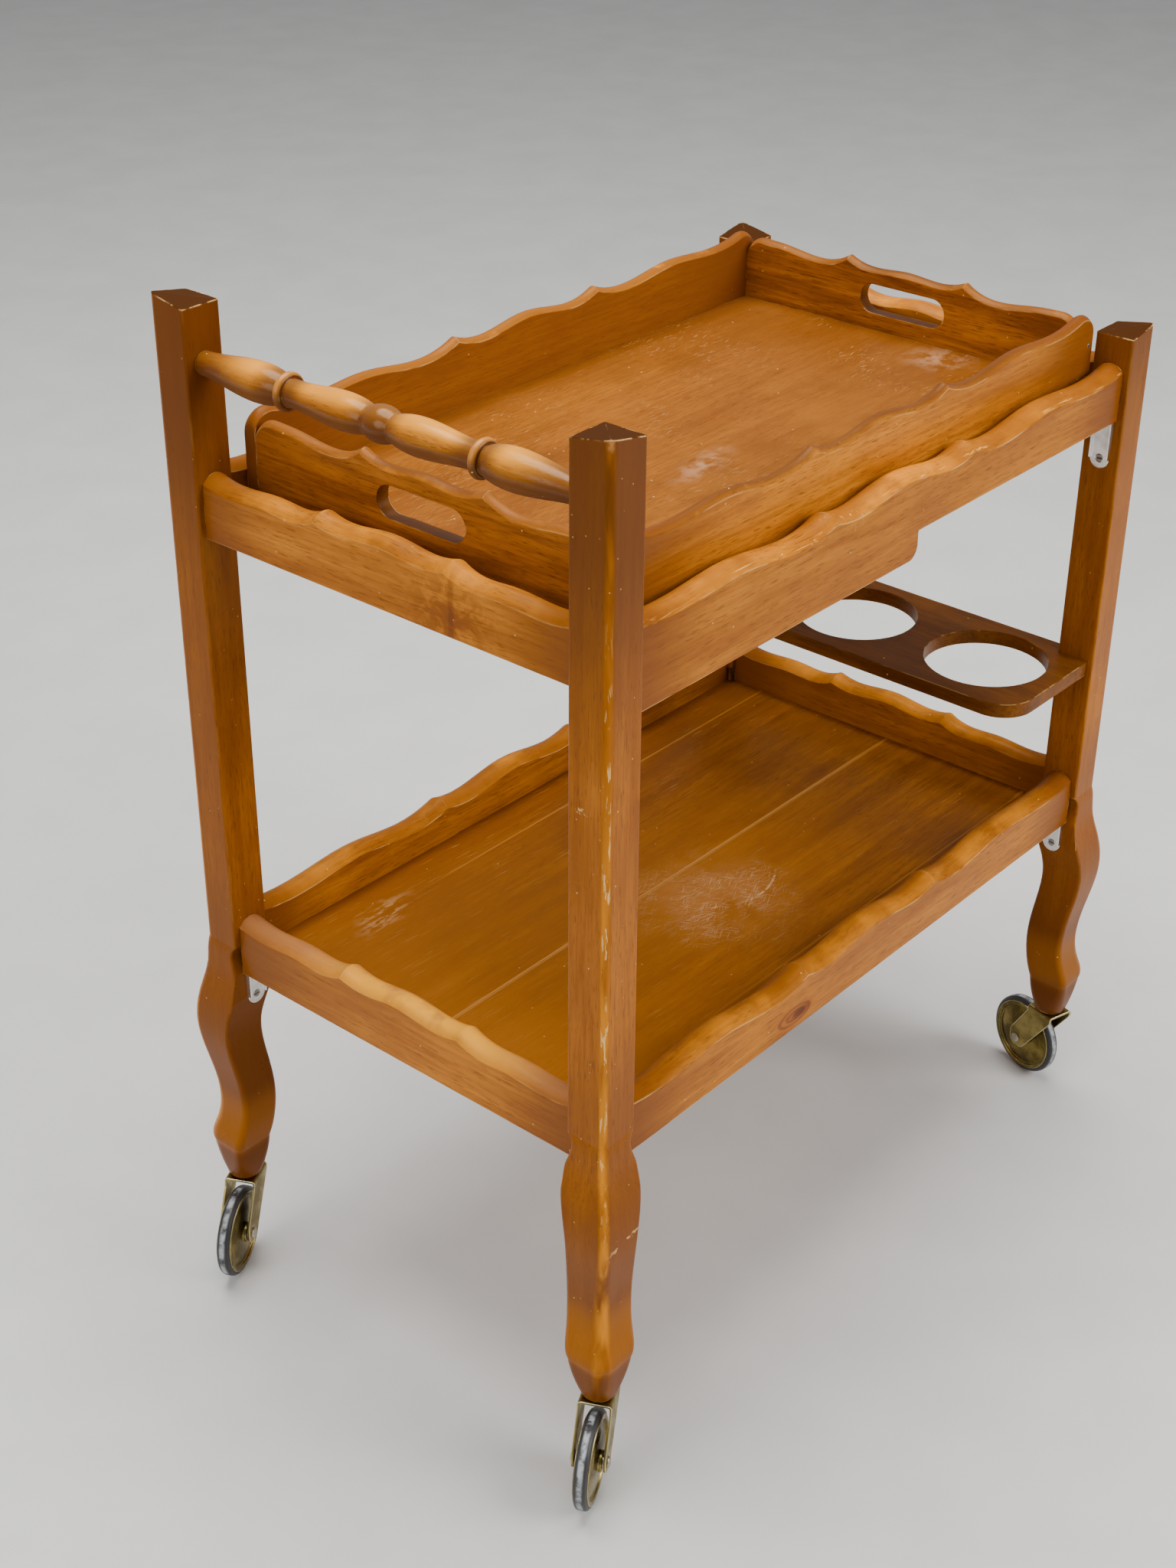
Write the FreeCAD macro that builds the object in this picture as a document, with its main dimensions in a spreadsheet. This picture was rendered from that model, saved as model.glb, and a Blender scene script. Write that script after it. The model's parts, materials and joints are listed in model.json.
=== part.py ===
import FreeCAD, Part
import math
import os
import re

# Wooden serving trolley with a lift-off tray, a bottle rack, a lower shelf and four swivel casters.
# Millimetres. X runs along the cart with the handle at -X, Y runs across it, Z is up, the floor is Z = 0.

Vector = FreeCAD.Vector
Rotation = FreeCAD.Rotation
Placement = FreeCAD.Placement

# Sizes that can be chosen are numbers; sizes that follow from others are formulas.
SIZES = (
    # frame
    ("cart_length", 600),
    ("cart_width", 368),
    ("post_size", 30),
    ("post_corner_round", 5),
    ("post_edge_round", 1.5),
    ("bottle_post_height", 667),
    ("handle_rise", 90),
    ("handle_post_height", "=bottle_post_height + handle_rise"),
    ("post_top_fall", 5.6),
    # cabriole leg: rise of each station over the one below,
    # its outer and inner faces measured from the plane of the post's outer face
    ("hip_rise", 23),
    ("hip_height", "=thigh_height + hip_rise"),
    ("thigh_rise", 22),
    ("thigh_height", "=swell_height + thigh_rise"),
    ("thigh_outer", -2.4),
    ("swell_rise", 27),
    ("swell_height", "=knee_height + swell_rise"),
    ("swell_outer", -7.2),
    ("knee_rise", 25),
    ("knee_height", "=shin_height + knee_rise"),
    ("knee_outer", -10.5),
    ("knee_inner", 24.6),
    ("shin_rise", 23),
    ("shin_height", "=calf_height + shin_rise"),
    ("shin_outer", -8),
    ("shin_inner", 25.2),
    ("calf_rise", 22),
    ("calf_height", "=ankle_height + calf_rise"),
    ("calf_outer", -4.3),
    ("calf_inner", 28),
    ("ankle_rise", 19),
    ("ankle_height", "=instep_height + ankle_rise"),
    ("ankle_outer", -3),
    ("ankle_inner", 29.3),
    ("instep_rise", 13),
    ("instep_height", "=toe_height + instep_rise"),
    ("instep_outer", -5.6),
    ("instep_inner", 28.3),
    ("toe_rise", 7),
    ("toe_height", "=crease_height + toe_rise"),
    ("toe_outer", -9),
    ("toe_inner", 26.5),
    ("crease_rise", 18),
    ("crease_height", "=pad_height + crease_rise"),
    ("crease_outer", -8.6),
    ("crease_inner", 25),
    ("pad_rise", 14),
    ("pad_height", "=foot_height + pad_rise"),
    ("pad_outer", -6),
    ("pad_inner", 23.5),
    ("foot_height", "=2 * wheel_radius + wheel_top_gap + fork_gauge + fork_plate_gap + socket_flange_gauge"),
    ("foot_radius", 12),
    ("foot_inset", 9),
    ("toe_round", 11),
    # rails
    ("rail_thickness", 20),
    ("rail_crown", 5),
    ("top_rail_drop", 30.5),
    ("top_rail_level", "=bottle_post_height - top_rail_drop"),
    ("top_rail_depth", 36),
    ("top_rail_bottom", "=top_rail_level - top_rail_depth"),
    ("apron_depth", 55),
    ("apron_bottom", "=top_rail_level - apron_depth"),
    ("apron_step", 15),
    ("apron_round", 9),
    ("shelf_rail_rise", 15),
    ("shelf_rail_level", "=hip_height + shelf_rail_rise"),
    ("shelf_rail_depth", 38),
    ("shelf_rail_bottom", "=shelf_rail_level - shelf_rail_depth"),
    ("tenon_length", 12),
    ("tenon_thickness", 8),
    ("tenon_height", 22),
    ("joint_clearance", 0.1),
    # scallops: hump from the board's ear, cusp from its middle, heights from the board's level
    ("ear_margin", 2.6),
    ("long_hump_inset", 102),
    ("long_cusp_place", 78),
    ("long_ear", 0),
    ("long_end_dip", -3.5),
    ("long_hump", -0.7),
    ("long_mid_dip", -6),
    ("long_cusp", -1.2),
    ("long_inner_dip", -4.7),
    ("long_centre", 1),
    ("short_hump_inset", 56),
    ("short_cusp_place", 54),
    ("short_ear", 1),
    ("short_end_dip", -2.2),
    ("short_hump", -0.6),
    ("short_mid_dip", -1.7),
    ("short_cusp", 3.9),
    ("short_inner_dip", 0.9),
    ("short_centre", 4),
    ("side_hump_inset", 87.4),
    ("side_cusp_place", 73),
    ("side_ear", 4),
    ("side_end_dip", -0.5),
    ("side_hump", 2),
    ("side_mid_dip", -3),
    ("side_cusp", 3.5),
    ("side_inner_dip", -2),
    ("side_centre", 3),
    ("end_hump_inset", 16.9),
    ("end_cusp_place", 51),
    ("end_ear", 0.5),
    ("end_end_dip", 0.2),
    ("end_hump", -0.3),
    ("end_mid_dip", -3.7),
    ("end_cusp", 4.5),
    ("end_inner_dip", -0.7),
    ("end_centre", 1),
    # tray
    ("tray_handle_gap", 18),
    ("tray_bottle_gap", 10),
    ("tray_side_gap", 4.5),
    ("tray_length", "=cart_length - post_size - rail_thickness - tray_handle_gap - tray_bottle_gap"),
    ("tray_shift", "=(tray_handle_gap - tray_bottle_gap) / 2"),
    ("tray_width", "=cart_width - post_size - rail_thickness - 2 * tray_side_gap"),
    ("tray_board", 10),
    ("tray_crown", 3),
    ("tray_sink", 19),
    ("tray_bottom", "=top_rail_level - tray_sink"),
    ("tray_height", 52),
    ("tray_level", "=tray_bottom + tray_height"),
    ("tray_end_round", 13),
    ("tray_floor_rise", 8.5),
    ("tray_floor_top", "=tray_bottom + tray_floor_rise"),
    ("tray_floor_thickness", 5),
    ("tray_tongue", 2.5),
    ("tray_groove_depth", 4),
    ("slot_length", 74),
    ("slot_height", 22),
    ("slot_rise", 32),
    ("slot_level", "=tray_bottom + slot_rise"),
    ("slot_tip_flat", 0.02),
    ("brad_radius", 0.8),
    ("brad_head_radius", 1.5),
    ("brad_head_height", 0.8),
    ("brad_length", 24),
    ("brad_low_rise", 12),
    ("brad_low_level", "=tray_bottom + brad_low_rise"),
    ("brad_high_rise", 36),
    ("brad_high_level", "=tray_bottom + brad_high_rise"),
    ("cleat_size", 12),
    ("cleat_end_gap", 50),
    ("cleat_length", "=cart_length - 2 * cleat_end_gap"),
    # shelf and bottle rack
    ("shelf_rise", 10),
    ("shelf_top", "=shelf_rail_bottom + shelf_rise"),
    ("shelf_thickness", 6),
    ("shelf_tongue", 3),
    ("shelf_groove_depth", 5),
    ("shelf_joint_gap", 0.3),
    ("shelf_joint_place", -5),
    ("rack_top", 407.5),
    ("rack_thickness", 11),
    ("rack_front_edge", 14),
    ("rack_back_edge", 12),
    ("rack_side_edge", 14.5),
    ("rack_web", 24),
    ("rack_depth", "=rack_front_edge + bottle_hole + rack_back_edge"),
    ("rack_tongue", 14),
    ("rack_side_set", 4.5),
    ("rack_round", 27),
    ("bottle_hole", 94),
    ("bottle_pitch", "=bottle_hole + rack_web"),
    ("bottle_row", "=rack_front_edge + bottle_hole / 2"),
    ("dowel_radius", 3),
    ("dowel_length", 20),
    # handle
    ("handle_drop", 42.5),
    ("handle_level", "=handle_post_height - handle_drop"),
    ("handle_end_radius", 7.8),
    ("handle_swell_radius", 12.6),
    ("handle_swell_reach", 18),
    ("handle_swell_place", "=handle_ring_place + handle_ring_width / 2 + handle_swell_reach"),
    ("handle_swell_ease", 1),
    ("handle_neck_shift", 3),
    ("handle_ring_radius", 12.4),
    ("handle_ring_place", 79),
    ("handle_ring_width", 6),
    ("handle_waist_radius", 8.8),
    ("handle_belly_radius", 11.7),
    ("handle_belly_place", 28),
    ("handle_belly_ease", 0.8),
    ("handle_groove_radius", 8.9),
    ("handle_bead_radius", 11.6),
    ("handle_bead_width", 20),
    ("handle_groove_width", 1.5),
    ("handle_tenon_radius", 6),
    ("handle_tenon_length", 14),
    # knock-down connectors
    ("plate_width", 15),
    ("plate_gauge", 1.5),
    ("plate_flange", 4),
    ("plate_flange_gauge", 1.2),
    ("plate_reach", 24),
    ("top_plate_drop", 38),
    ("shelf_plate_drop", 29),
    ("hook_length", 20),
    ("hook_side_gap", 0.3),
    ("screw_radius", 1.7),
    ("screw_head_radius", 3.2),
    ("screw_length", 12),
    ("screw_slot", 0.9),
    ("cut_overrun", 1),
    # casters
    ("wheel_radius", 34),
    ("wheel_top_gap", 4.3),
    ("caster_trail", 23),
    ("tyre_width", 9.5),
    ("tyre_depth", 4.6),
    ("tyre_round", 3),
    ("disc_rim_width", 11),
    ("disc_web_width", 7),
    ("disc_dome_width", 13),
    ("rim_lip", 1.2),
    ("rim_lip_round", 0.5),
    ("rim_fold", 1.6),
    ("rim_fold_round", 0.7),
    ("rim_depth", 2.6),
    ("web_round", 0.8),
    ("dish_rise", 0.6),
    ("dish_round", 8),
    ("dome_round", 1),
    ("hub_wall", 3),
    ("hub_set", 1.2),
    ("hub_round", 0.8),
    ("press_gap", 0.02),
    ("bush_round", 0.4),
    ("rivet_round", 1),
    ("stem_round", 1),
    ("bush_radius", 4.5),
    ("axle_radius", 2.5),
    ("rivet_radius", 4),
    ("rivet_height", 1.5),
    ("fork_width", 24),
    ("fork_gauge", 1.6),
    ("fork_fold", 2.6),
    ("fork_length", 26),
    ("fork_front", 13),
    ("fork_tip_radius", 7),
    ("fork_plate_gap", 0.4),
    ("stem_radius", 4),
    ("stem_length", 28),
    ("stem_head_radius", 6.5),
    ("stem_head_height", 1.5),
    ("socket_wall", 1),
    ("socket_depth", 32),
    ("socket_flange_radius", 9),
    ("socket_flange_gauge", 1.2),
    ("running_clearance", 0.06),
    ("side_play", 0.3),
    # trailing direction of each caster, degrees from +X
    ("handle_front_angle", -153),
    ("handle_back_angle", -153),
    ("bottle_front_angle", 74),
    ("bottle_back_angle", 27),
)

doc = FreeCAD.newDocument("serving_trolley")
sheet = doc.addObject("Spreadsheet::Sheet", "Sizes")
for row, (alias, size) in enumerate(SIZES, start=1):
    sheet.set("A%d" % row, alias)
    sheet.setAlias("B%d" % row, alias)
for row, (alias, size) in enumerate(SIZES, start=1):
    sheet.set("B%d" % row, str(size))
doc.recompute()


class Sheet:
    """The driving sizes, read back from the sheet by name."""

    def __getattr__(self, alias):
        return float(sheet.get(alias))


s = Sheet()
ALIASES = {alias for alias, size in SIZES}
nodes = []


def bind(obj, target, formula):
    """Drive one property by a formula written with sheet names."""
    def cell(word):
        name = word.group(0)
        return "Sizes." + name if name in ALIASES else name

    obj.setExpression(target, re.sub(r"[a-z_]+", cell, formula))


def place(obj, x="0", y="0", z="0", turn=None):
    """Put an object at a place given by formulas, after an optional turn."""
    if turn is not None:
        obj.Placement = Placement(Vector(0, 0, 0), turn)
    for axis, formula in zip("xyz", (x, y, z)):
        bind(obj, "Placement.Base." + axis, formula)


def node(obj, label):
    """Keep an object as a sub-part of the cart."""
    obj.Label = label
    nodes.append(obj)
    return obj


def box(name, corner, extent):
    """A block from its low corner, all six numbers given by formulas."""
    block = doc.addObject("Part::Box", name)
    for prop, formula in zip(("Length", "Width", "Height"), extent):
        bind(block, prop, formula)
    place(block, *corner)
    return block


def rod(name, radius, length, x, y, z, turn):
    """A round bar that starts at a place and runs along the turned Z axis."""
    bar = doc.addObject("Part::Cylinder", name)
    bind(bar, "Radius", radius)
    bind(bar, "Height", length)
    place(bar, x, y, z, turn)
    return bar


def joined(name, pieces):
    whole = doc.addObject("Part::MultiFuse", name)
    whole.Shapes = pieces
    return whole


def grouped(name, pieces):
    group = doc.addObject("Part::Compound", name)
    group.Links = pieces
    return group


def cut(name, base, tools):
    """One object with every tool taken out of it."""
    result = doc.addObject("Part::Cut", name)
    result.Base = base
    result.Tool = tools[0] if len(tools) == 1 else grouped(name + "_tools", tools)
    return result


def solid(name, shape):
    """A shape built from sheet sizes that no single feature describes."""
    feature = doc.addObject("Part::Feature", name)
    feature.Shape = shape
    return feature


def chain(points, closed=True):
    """Lines and tangent arcs along corners given as (u, v) or (u, v, rounding radius)."""
    corners = [(Vector(p[0], p[1], 0), p[2] if len(p) > 2 else 0) for p in points]
    count = len(corners)
    starts = []
    arcs = []
    for index, (corner, radius) in enumerate(corners):
        if radius <= 0 or (not closed and index in (0, count - 1)):
            starts.append((corner, corner))
            arcs.append(None)
            continue
        to_last = (corners[index - 1][0] - corner).normalize()
        to_next = (corners[(index + 1) % count][0] - corner).normalize()
        half = math.acos(max(-1.0, min(1.0, to_last.dot(to_next)))) / 2
        reach = radius / math.tan(half)
        entry = corner + to_last * reach
        leave = corner + to_next * reach
        inward = (to_last + to_next).normalize()
        crest = corner + inward * (radius / math.sin(half) - radius)
        starts.append((entry, leave))
        arcs.append(Part.Arc(entry, crest, leave))
    edges = []
    for index in range(count):
        if arcs[index] is not None:
            edges.append(arcs[index])
        if index == count - 1 and not closed:
            break
        first = starts[index][1]
        second = starts[(index + 1) % count][0]
        if first.distanceToPoint(second) > 1e-6:
            edges.append(Part.LineSegment(first, second))
    return edges


def curve(points):
    """A smooth line through points (u, v)."""
    line = Part.BSplineCurve()
    line.interpolate([Vector(u, v, 0) for u, v in points])
    return line


def sketch(name, edges, placement):
    drawing = doc.addObject("Sketcher::SketchObject", name)
    drawing.addGeometry(edges, False)
    drawing.Placement = placement
    return drawing


def body_sketch(body, name, edges, plane):
    """A drawing on one of the body's own origin planes."""
    drawing = body.newObject("Sketcher::SketchObject", name)
    support = [item for item in body.Origin.OriginFeatures if item.Role == plane][0]
    drawing.AttachmentSupport = (support, [""])
    drawing.MapMode = "FlatFace"
    drawing.addGeometry(edges, False)
    return drawing


def turned(name, edges):
    """A body turned round its own Z axis from an outline of (radius, height)."""
    body = doc.addObject("PartDesign::Body", name)
    outline = body_sketch(body, name + "_outline", edges, "XZ_Plane")
    turn = body.newObject("PartDesign::Revolution", name + "_turning")
    turn.Profile = outline
    turn.ReferenceAxis = (outline, ["V_Axis"])
    turn.Angle = 360
    outline.Visibility = False
    return body


ALONG_X = Rotation(Vector(0, 1, 0), 90)
AGAINST_X = Rotation(Vector(0, 1, 0), -90)
ALONG_Y = Rotation(Vector(1, 0, 0), -90)
AGAINST_Y = Rotation(Vector(1, 0, 0), 90)
BOARD_ALONG_X = Rotation(Vector(1, 0, 0), 90)
BOARD_ALONG_Y = Rotation(Vector(1, 1, 1), 120)


# How far out towards the cusp the middle wave dips lowest.
INNER_DIP_SHARE = 0.6


def scallop(kind, ear_place, level):
    """The waved top edge from its left ear to its right ear, as three smooth lines that meet in cusps."""
    hump_place = ear_place - getattr(s, kind + "_hump_inset")
    cusp_place = getattr(s, kind + "_cusp_place")
    ear = level + getattr(s, kind + "_ear")
    end_dip = level + getattr(s, kind + "_end_dip")
    hump = level + getattr(s, kind + "_hump")
    mid_dip = level + getattr(s, kind + "_mid_dip")
    cusp = level + getattr(s, kind + "_cusp")
    inner_dip = level + getattr(s, kind + "_inner_dip")
    centre = level + getattr(s, kind + "_centre")
    flank = [
        (ear_place, ear),
        ((ear_place + hump_place) / 2, end_dip),
        (hump_place, hump),
        ((hump_place + cusp_place) / 2, mid_dip),
        (cusp_place, cusp),
    ]
    inner = [(cusp_place, cusp), (cusp_place * INNER_DIP_SHARE, inner_dip), (0, centre)]
    left_flank = [(-u, v) for u, v in flank]
    left_inner = [(-u, v) for u, v in inner]
    return [
        curve(left_flank),
        curve(left_inner + inner[1::-1]),
        curve(flank[::-1]),
    ]


def scalloped_board(name, kind, middle, turn, half, level, lower_edge, thickness, crown, end_round=0):
    """A board with a waved, crowned top edge: lofted through its two faces and its mid-plane."""
    across = turn.multVec(Vector(0, 0, 1))
    ear_place = half - (end_round + s.ear_margin if end_round else 0)
    sections = []
    for side, rise in ((-1, 0), (0, crown), (1, 0)):
        top = level + rise
        ear = top + getattr(s, kind + "_ear")
        corners = [(half, ear, end_round)] if end_round else []
        mirrored = [(-half, ear, end_round)] if end_round else []
        lower = [(ear_place, ear)] + corners + lower_edge + mirrored + [(-ear_place, ear)]
        edges = scallop(kind, ear_place, top) + chain(lower, closed=False)
        place_here = Placement(middle + across * (side * thickness / 2), turn)
        sections.append(sketch("%s_section_%d" % (name, side + 2), edges, place_here))
    loft = doc.addObject("Part::Loft", name + "_loft")
    loft.Sections = sections
    loft.Solid = True
    loft.Ruled = False
    return loft


# Knock-down connectors, drawn with local X into the rail, Y across it and Z up from the rail's lower edge.
def post_plate_shape(drop):
    half = s.plate_width / 2
    height = drop - half + s.plate_reach
    web = Part.makeBox(s.plate_gauge, s.plate_width, height, Vector(0, -half, half - drop))
    tip = Part.makeCylinder(half, s.plate_gauge, Vector(0, 0, half - drop), Vector(1, 0, 0))
    shape = web.fuse(tip)
    for side in (-half, half - s.plate_flange_gauge):
        shape = shape.fuse(
            Part.makeBox(
                s.plate_flange,
                s.plate_flange_gauge,
                height,
                Vector(0, side, half - drop),
            )
        )
    for level in screw_levels(drop):
        shape = shape.cut(screw_shape(Vector(s.plate_gauge, 0, level), Vector(-1, 0, 0)))
    return shape.removeSplitter()


def screw_levels(drop):
    return (s.plate_width / 2 - drop, s.plate_reach / 2 - drop / 6)


def screw_shape(top, along, slotted=False):
    """A countersunk screw with its flat head at a point."""
    head_height = s.screw_head_radius - s.screw_radius
    head = Part.makeCone(s.screw_head_radius, s.screw_radius, head_height, top, along)
    shank = Part.makeCylinder(s.screw_radius, s.screw_length, top, along)
    shape = head.fuse(shank).removeSplitter()
    if slotted:
        slot = Part.makeBox(
            s.screw_slot,
            2.2 * s.screw_head_radius,
            2 * s.screw_slot,
            Vector(-s.screw_slot / 2, -1.1 * s.screw_head_radius, -s.screw_slot),
        )
        slot.Placement = Placement(top, Rotation(Vector(0, 0, 1), along)).multiply(slot.Placement)
        shape = shape.cut(slot)
    return shape


def hook_shape():
    half = s.plate_width / 2 - s.plate_flange_gauge - s.hook_side_gap
    depth = s.plate_flange - s.plate_gauge
    plate = Part.makeBox(depth, 2 * half, s.hook_length, Vector(s.plate_gauge, -half, 0))
    return plate.cut(hook_screw_shape())


def hook_screw_shape(slotted=False):
    top = Vector(s.plate_gauge + s.screw_slot, 0, s.hook_length * 0.8)
    return screw_shape(top, Vector(1, 0, 0), slotted)


def recess_shape():
    half = s.plate_width / 2 + s.joint_clearance
    height = s.plate_reach + s.cut_overrun
    return Part.makeBox(s.plate_flange, 2 * half, height, Vector(0, -half, -s.cut_overrun))


def connector_places(kind):
    """Where each connector of one rail kind sits: (post x sign, post y sign, placement)."""
    inner_x = s.cart_length / 2 - s.post_size
    inner_y = s.cart_width / 2 - s.post_size
    mid_x = s.cart_length / 2 - s.post_size / 2
    mid_y = s.cart_width / 2 - s.post_size / 2
    found = []
    for sx in (-1, 1):
        for sy in (-1, 1):
            if kind == "top_long":
                level = s.apron_bottom if sx < 0 else s.top_rail_bottom
            else:
                level = s.shelf_rail_bottom
            if kind.endswith("long"):
                spot = Vector(sx * inner_x, sy * mid_y, level)
                spin = 180 if sx > 0 else 0
            else:
                spot = Vector(sx * mid_x, sy * inner_y, level)
                spin = -90 if sy > 0 else 90
            found.append((sx, sy, Placement(spot, Rotation(Vector(0, 0, 1), spin))))
    return found


def connector_drop(kind, sx):
    """How far a post plate hangs below its rail; both top plates on one side end at one level."""
    if kind != "top_long":
        return s.shelf_plate_drop
    return s.top_plate_drop - (s.top_rail_bottom - s.apron_bottom if sx < 0 else 0)


CONNECTED = ("top_long", "shelf_long", "shelf_short")


def placed(shape, placement):
    copy = shape.copy()
    copy.Placement = placement.multiply(copy.Placement)
    return copy


post_plates = []
post_screws = []
post_pilots = {}
hook_plates = []
hook_screws = []
rail_recesses = {}
for kind in CONNECTED:
    for sx, sy, spot in connector_places(kind):
        drop = connector_drop(kind, sx)
        post_plates.append(placed(post_plate_shape(drop), spot))
        for level in screw_levels(drop):
            top = Vector(s.plate_gauge, 0, level)
            inward = Vector(-1, 0, 0)
            post_screws.append(placed(screw_shape(top, inward, slotted=True), spot))
            post_pilots.setdefault((sx, sy), []).append(placed(screw_shape(top, inward), spot))
        hook_plates.append(placed(hook_shape(), spot))
        hook_screws.append(placed(hook_screw_shape(slotted=True), spot))
        side = sy if kind.endswith("long") else sx
        rail_recesses.setdefault((kind, side), []).extend(
            [placed(recess_shape(), spot), placed(hook_screw_shape(), spot)]
        )
node(solid("PostPlates", Part.makeCompound(post_plates)), "connector_post_plates")
node(solid("PostScrews", Part.makeCompound(post_screws)), "connector_post_screws")
node(solid("HookPlates", Part.makeCompound(hook_plates)), "connector_rail_plates")
node(solid("HookScrews", Part.makeCompound(hook_screws)), "connector_rail_screws")


# Rails. Each stands in the middle of its posts' thickness.
rail_x = s.cart_length / 2 - s.post_size / 2
rail_y = s.cart_width / 2 - s.post_size / 2
half_long = s.cart_length / 2 - s.post_size
half_short = s.cart_width / 2 - s.post_size
RAIL_X = "(cart_length - post_size) / 2"
RAIL_Y = "(cart_width - post_size) / 2"
INNER_X = "(cart_length / 2 - post_size)"
INNER_Y = "(cart_width / 2 - post_size)"
SHELF_X = "((cart_length - post_size - rail_thickness) / 2 + shelf_groove_depth)"
SHELF_Y = "((cart_width - post_size - rail_thickness) / 2 + shelf_groove_depth)"
FIELD_X = "((cart_length - post_size - rail_thickness) / 2 - joint_clearance)"
FIELD_Y = "((cart_width - post_size - rail_thickness) / 2 - joint_clearance)"
ends = (("front", -1), ("back", 1))
tips = (("handle", -1), ("bottle", 1))


def signed(sign, formula):
    return "%d * (%s)" % (sign, formula)


def shelf_space(name):
    """The room that the tongues of the shelf boards take inside the shelf rails, with a little clearance."""
    return box(
        name,
        (
            "-%s - joint_clearance" % SHELF_X,
            "-%s - joint_clearance" % SHELF_Y,
            "shelf_top - shelf_thickness - joint_clearance",
        ),
        (
            "2 * %s + 2 * joint_clearance" % SHELF_X,
            "2 * %s + 2 * joint_clearance" % SHELF_Y,
            "shelf_tongue + 2 * joint_clearance",
        ),
    )


for word, sign in ends:
    lower = [
        (half_long, s.top_rail_bottom),
        (s.apron_step, s.top_rail_bottom),
        (s.apron_step, s.apron_bottom, s.apron_round),
        (-half_long, s.apron_bottom),
    ]
    loft = scalloped_board(
        "TopRail_" + word,
        "long",
        Vector(0, sign * rail_y, 0),
        BOARD_ALONG_X,
        half_long,
        s.top_rail_level,
        lower,
        s.rail_thickness,
        s.rail_crown,
    )
    recess = solid("TopRecess_" + word, Part.makeCompound(rail_recesses[("top_long", sign)]))
    node(cut("TopRailBoard_" + word, loft, [recess]), "top_rail_" + word)
    cleat_edge = "(cart_width - post_size - rail_thickness) / 2"
    low_y = "-" + cleat_edge if sign < 0 else cleat_edge + " - cleat_size"
    cleat = box(
        "Cleat_" + word,
        ("-cleat_length / 2", low_y, "tray_bottom - cleat_size"),
        ("cleat_length", "cleat_size", "cleat_size"),
    )
    node(cleat, "tray_cleat_" + word)

    lower = [(half_long, s.shelf_rail_bottom), (-half_long, s.shelf_rail_bottom)]
    loft = scalloped_board(
        "ShelfRail_" + word,
        "long",
        Vector(0, sign * rail_y, 0),
        BOARD_ALONG_X,
        half_long,
        s.shelf_rail_level,
        lower,
        s.rail_thickness,
        s.rail_crown,
    )
    recess = solid("ShelfRecess_" + word, Part.makeCompound(rail_recesses[("shelf_long", sign)]))
    groove = shelf_space("ShelfGroove_" + word)
    node(cut("ShelfRailBoard_" + word, loft, [recess, groove]), "shelf_rail_" + word)

short_tenons = {}
for word, sign in tips:
    lower = [(half_short, s.top_rail_bottom), (-half_short, s.top_rail_bottom)]
    loft = scalloped_board(
        "EndRail_" + word,
        "short",
        Vector(sign * rail_x, 0, 0),
        BOARD_ALONG_Y,
        half_short,
        s.top_rail_level,
        lower,
        s.rail_thickness,
        s.rail_crown,
    )
    tongue = box(
        "Tenon_" + word,
        (
            signed(sign, RAIL_X) + " - tenon_thickness / 2",
            "-%s - tenon_length" % INNER_Y,
            "(top_rail_level + top_rail_bottom - tenon_height) / 2",
        ),
        ("tenon_thickness", "2 * %s + 2 * tenon_length" % INNER_Y, "tenon_height"),
    )
    node(joined("EndRailBoard_" + word, [loft, tongue]), "top_rail_%s_end" % word)
    short_tenons[sign] = box(
        "Mortise_" + word,
        (
            signed(sign, RAIL_X) + " - tenon_thickness / 2 - joint_clearance",
            "-%s - tenon_length - joint_clearance" % INNER_Y,
            "(top_rail_level + top_rail_bottom - tenon_height) / 2 - joint_clearance",
        ),
        (
            "tenon_thickness + 2 * joint_clearance",
            "2 * %s + 2 * tenon_length + 2 * joint_clearance" % INNER_Y,
            "tenon_height + 2 * joint_clearance",
        ),
    )

    lower = [(half_short, s.shelf_rail_bottom), (-half_short, s.shelf_rail_bottom)]
    loft = scalloped_board(
        "ShelfEnd_" + word,
        "short",
        Vector(sign * rail_x, 0, 0),
        BOARD_ALONG_Y,
        half_short,
        s.shelf_rail_level,
        lower,
        s.rail_thickness,
        s.rail_crown,
    )
    recess = solid("ShelfEndRecess_" + word, Part.makeCompound(rail_recesses[("shelf_short", sign)]))
    groove = shelf_space("ShelfEndGroove_" + word)
    node(cut("ShelfEndBoard_" + word, loft, [recess, groove]), "shelf_rail_%s_end" % word)


# Shelf boards: a tongue all round lies in the rails' grooves, and the field above it fills the space between.
# They are cut out round the four posts and the connectors on them.
def post_clearances(name):
    blocks = []
    for x_word, sx in tips:
        for y_word, sy in ends:
            low_x = INNER_X if sx > 0 else "-%s - 2 * post_size" % INNER_X
            low_y = INNER_Y if sy > 0 else "-%s - 2 * post_size" % INNER_Y
            shift_x = " - %d * joint_clearance" % sx
            shift_y = " - %d * joint_clearance" % sy
            blocks.append(
                box(
                    "%s_%s_%s" % (name, x_word, y_word),
                    (low_x + shift_x, low_y + shift_y, "shelf_rail_bottom"),
                    ("2 * post_size", "2 * post_size", "shelf_rail_level - shelf_rail_bottom"),
                )
            )
    return blocks


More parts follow.
